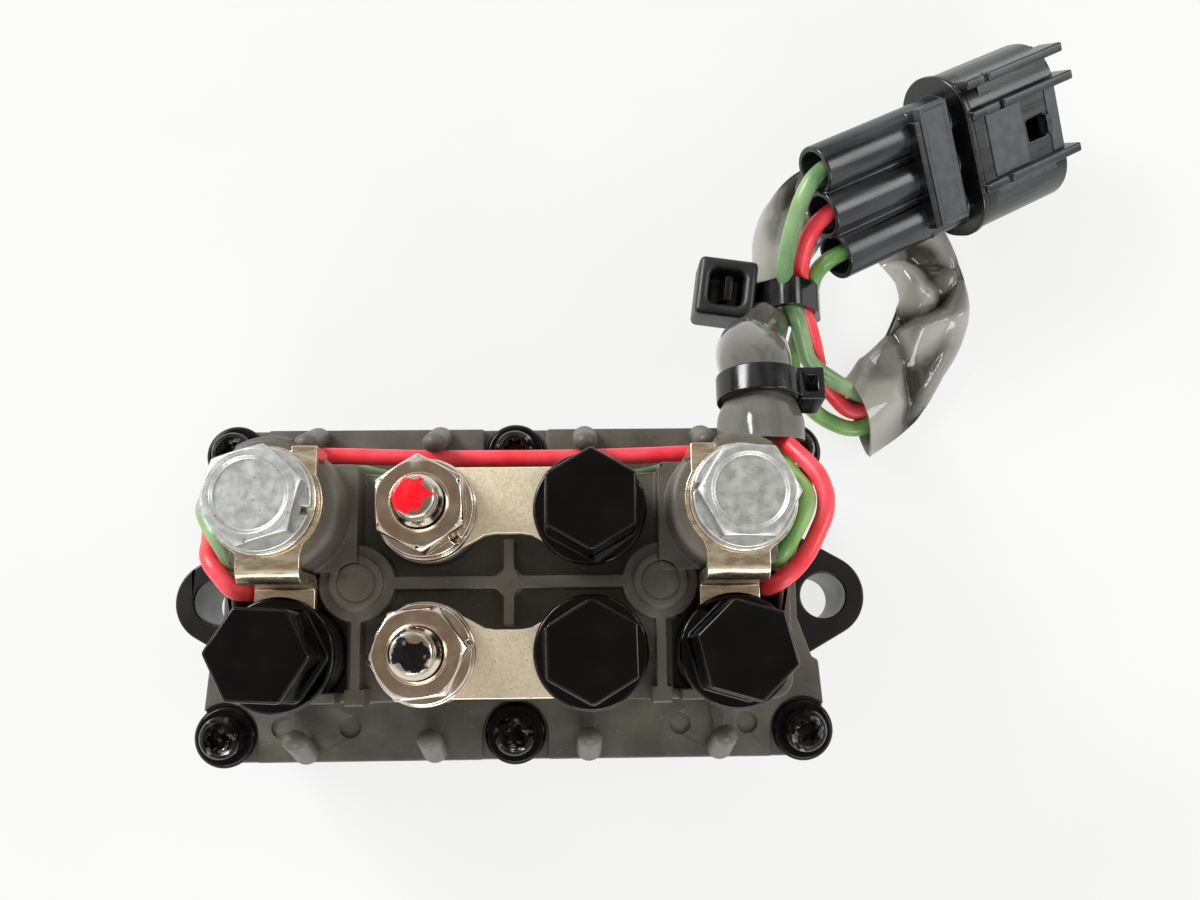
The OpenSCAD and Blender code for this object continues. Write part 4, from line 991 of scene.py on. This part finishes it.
# %% Springs on their bodies
SPRING_X = 18.5
for side, x in (("left", -SPRING_X), ("right", SPRING_X)):
    coil = settle(merged_copy(f"{side}_return_spring", 0), f"{side}_return_coil", spring_steel,
                  f"{side}_return_spring")
    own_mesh(coil)
    coil = settle(merged_copy(f"{side}_contact_spring", 0), f"{side}_contact_coil", spring_steel,
                  f"{side}_contact_spring", f"{side}_plunger")
    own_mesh(coil)

# %% [markdown]
# ## The wires
# Each wire has a fixed length and ends in the plug.

print("the wires end in the plug")

# %% [markdown]
# ## Floor and light
# The photograph has a near-white background and very soft shadows. One wide lamp above and behind, to
# the left, is the window. Two weaker ones fill in from the right and from the front, and the world is a
# pale room for the metal and gloss to mirror.

# %% Floor
FLOOR_HALF = 1.5
FLOOR_Z = -0.02
FLOOR_GLOW = 0.86
FIBRE_SIZE = 60
deselect_all()
bpy.ops.mesh.primitive_plane_add(size=2 * FLOOR_HALF, location=(0, 0, FLOOR_Z * MM))
floor = bpy.context.object
floor.name = "studio_floor"


def seen_directly(tree):
    """One for what the camera sees, itself or by way of gloss or glass, and else nought."""
    rays = add_node(tree, "LightPath").outputs
    gloss = add_node(tree, "Math", {0: rays["Is Glossy Ray"], 1: rays["Is Transmission Ray"]},
                     operation="MAXIMUM")
    return add_node(tree, "Math", {0: rays["Is Camera Ray"], 1: gloss}, operation="MAXIMUM")


floor_paper, tree, place = start_material("matt_floor_paper")
fibre = add_node(tree, "TexNoise", {"Vector": place, "Scale": per_mm(FIBRE_SIZE), "Detail": 3})
tone = add_node(tree, "Mix", {"Factor": fibre, "A": linear("#f3f4f2"), "B": linear("#f9faf8")},
                data_type="RGBA")
paper = add_node(tree, "BsdfDiffuse", {"Color": tone})
glow = add_node(tree, "Emission", {"Color": tone, "Strength": 1.0})
lit = add_node(tree, "Math", {0: seen_directly(tree), 1: FLOOR_GLOW}, operation="MULTIPLY")
mixed = add_node(tree, "MixShader", {0: lit, 1: paper, 2: glow})
add_node(tree, "OutputMaterial", {"Surface": mixed})
floor.data.materials.append(floor_paper)
print("floor is", 2 * FLOOR_HALF, "m wide")

# %% Lamps
AIM_AT = Vector((0, 0.02, 0.03))


def soft_lamp(name, place, size, watts):
    """A rectangular lamp that looks at the middle of the object, in metres."""
    light = bpy.data.lights.new(name, "AREA")
    light.shape = "RECTANGLE"
    light.size, light.size_y = size
    light.energy = watts
    aim = (AIM_AT - Vector(place)).to_track_quat("-Z", "Y")
    add_object(name, light).matrix_world = Matrix.Translation(place) @ aim.to_matrix().to_4x4()


soft_lamp("window_light", (-0.9, 0.75, 0.75), (0.6, 0.45), 18)
soft_lamp("right_fill", (1.0, 0.2, 0.7), (0.5, 0.5), 4)
soft_lamp("front_fill", (0.1, -1.0, 0.6), (0.9, 0.35), 6.5)

# %% World
# The room is bright round about and dark overhead, where the camera and the photographer's hands are.
# Level black faces mirror that dark part, so they stay black. Soft patches on its walls stand for
# windows and furniture, which metal and gloss need to mirror.
ZENITH_EDGE = (0.9, 0.975)
PATCH_SCALE = 2.6
PATCH_EDGE = (0.42, 0.56)
ROOM_STRENGTH = 0.85
world = bpy.data.worlds.new("studio")
bpy.context.scene.world = world
world.use_nodes = True
tree = world.node_tree
tree.nodes.clear()
view = add_node(tree, "TexCoord").outputs["Generated"]
height = add_node(tree, "SeparateXYZ", {"Vector": view}).outputs["Z"]
furniture = add_node(tree, "TexNoise", {"Vector": view, "Scale": PATCH_SCALE, "Detail": 1})
overhead, windows = [
    add_node(tree, "MapRange", {"Value": level, "From Min": low, "From Max": high},
             interpolation_type="SMOOTHSTEP")
    for level, (low, high) in ((height, ZENITH_EDGE), (furniture, PATCH_EDGE))]
wall = add_node(tree, "Mix", {"Factor": windows, "A": linear("#9b9a98"), "B": linear("#ffffff")},
                data_type="RGBA")
seen_room = add_node(tree, "Mix", {"Factor": overhead, "A": wall, "B": linear("#877a6b")},
                     data_type="RGBA")
room = add_node(tree, "Background", {"Color": seen_room, "Strength": ROOM_STRENGTH})
backdrop = add_node(tree, "Background", {"Color": linear("#f6f7f5"), "Strength": 1.0})
direct = add_node(tree, "LightPath").outputs["Is Camera Ray"]
shown = add_node(tree, "MixShader", {0: direct, 1: room, 2: backdrop})
add_node(tree, "OutputWorld", {"Surface": shown})
bpy.context.scene.view_settings.view_transform = "Standard"
print("world:", world.name)
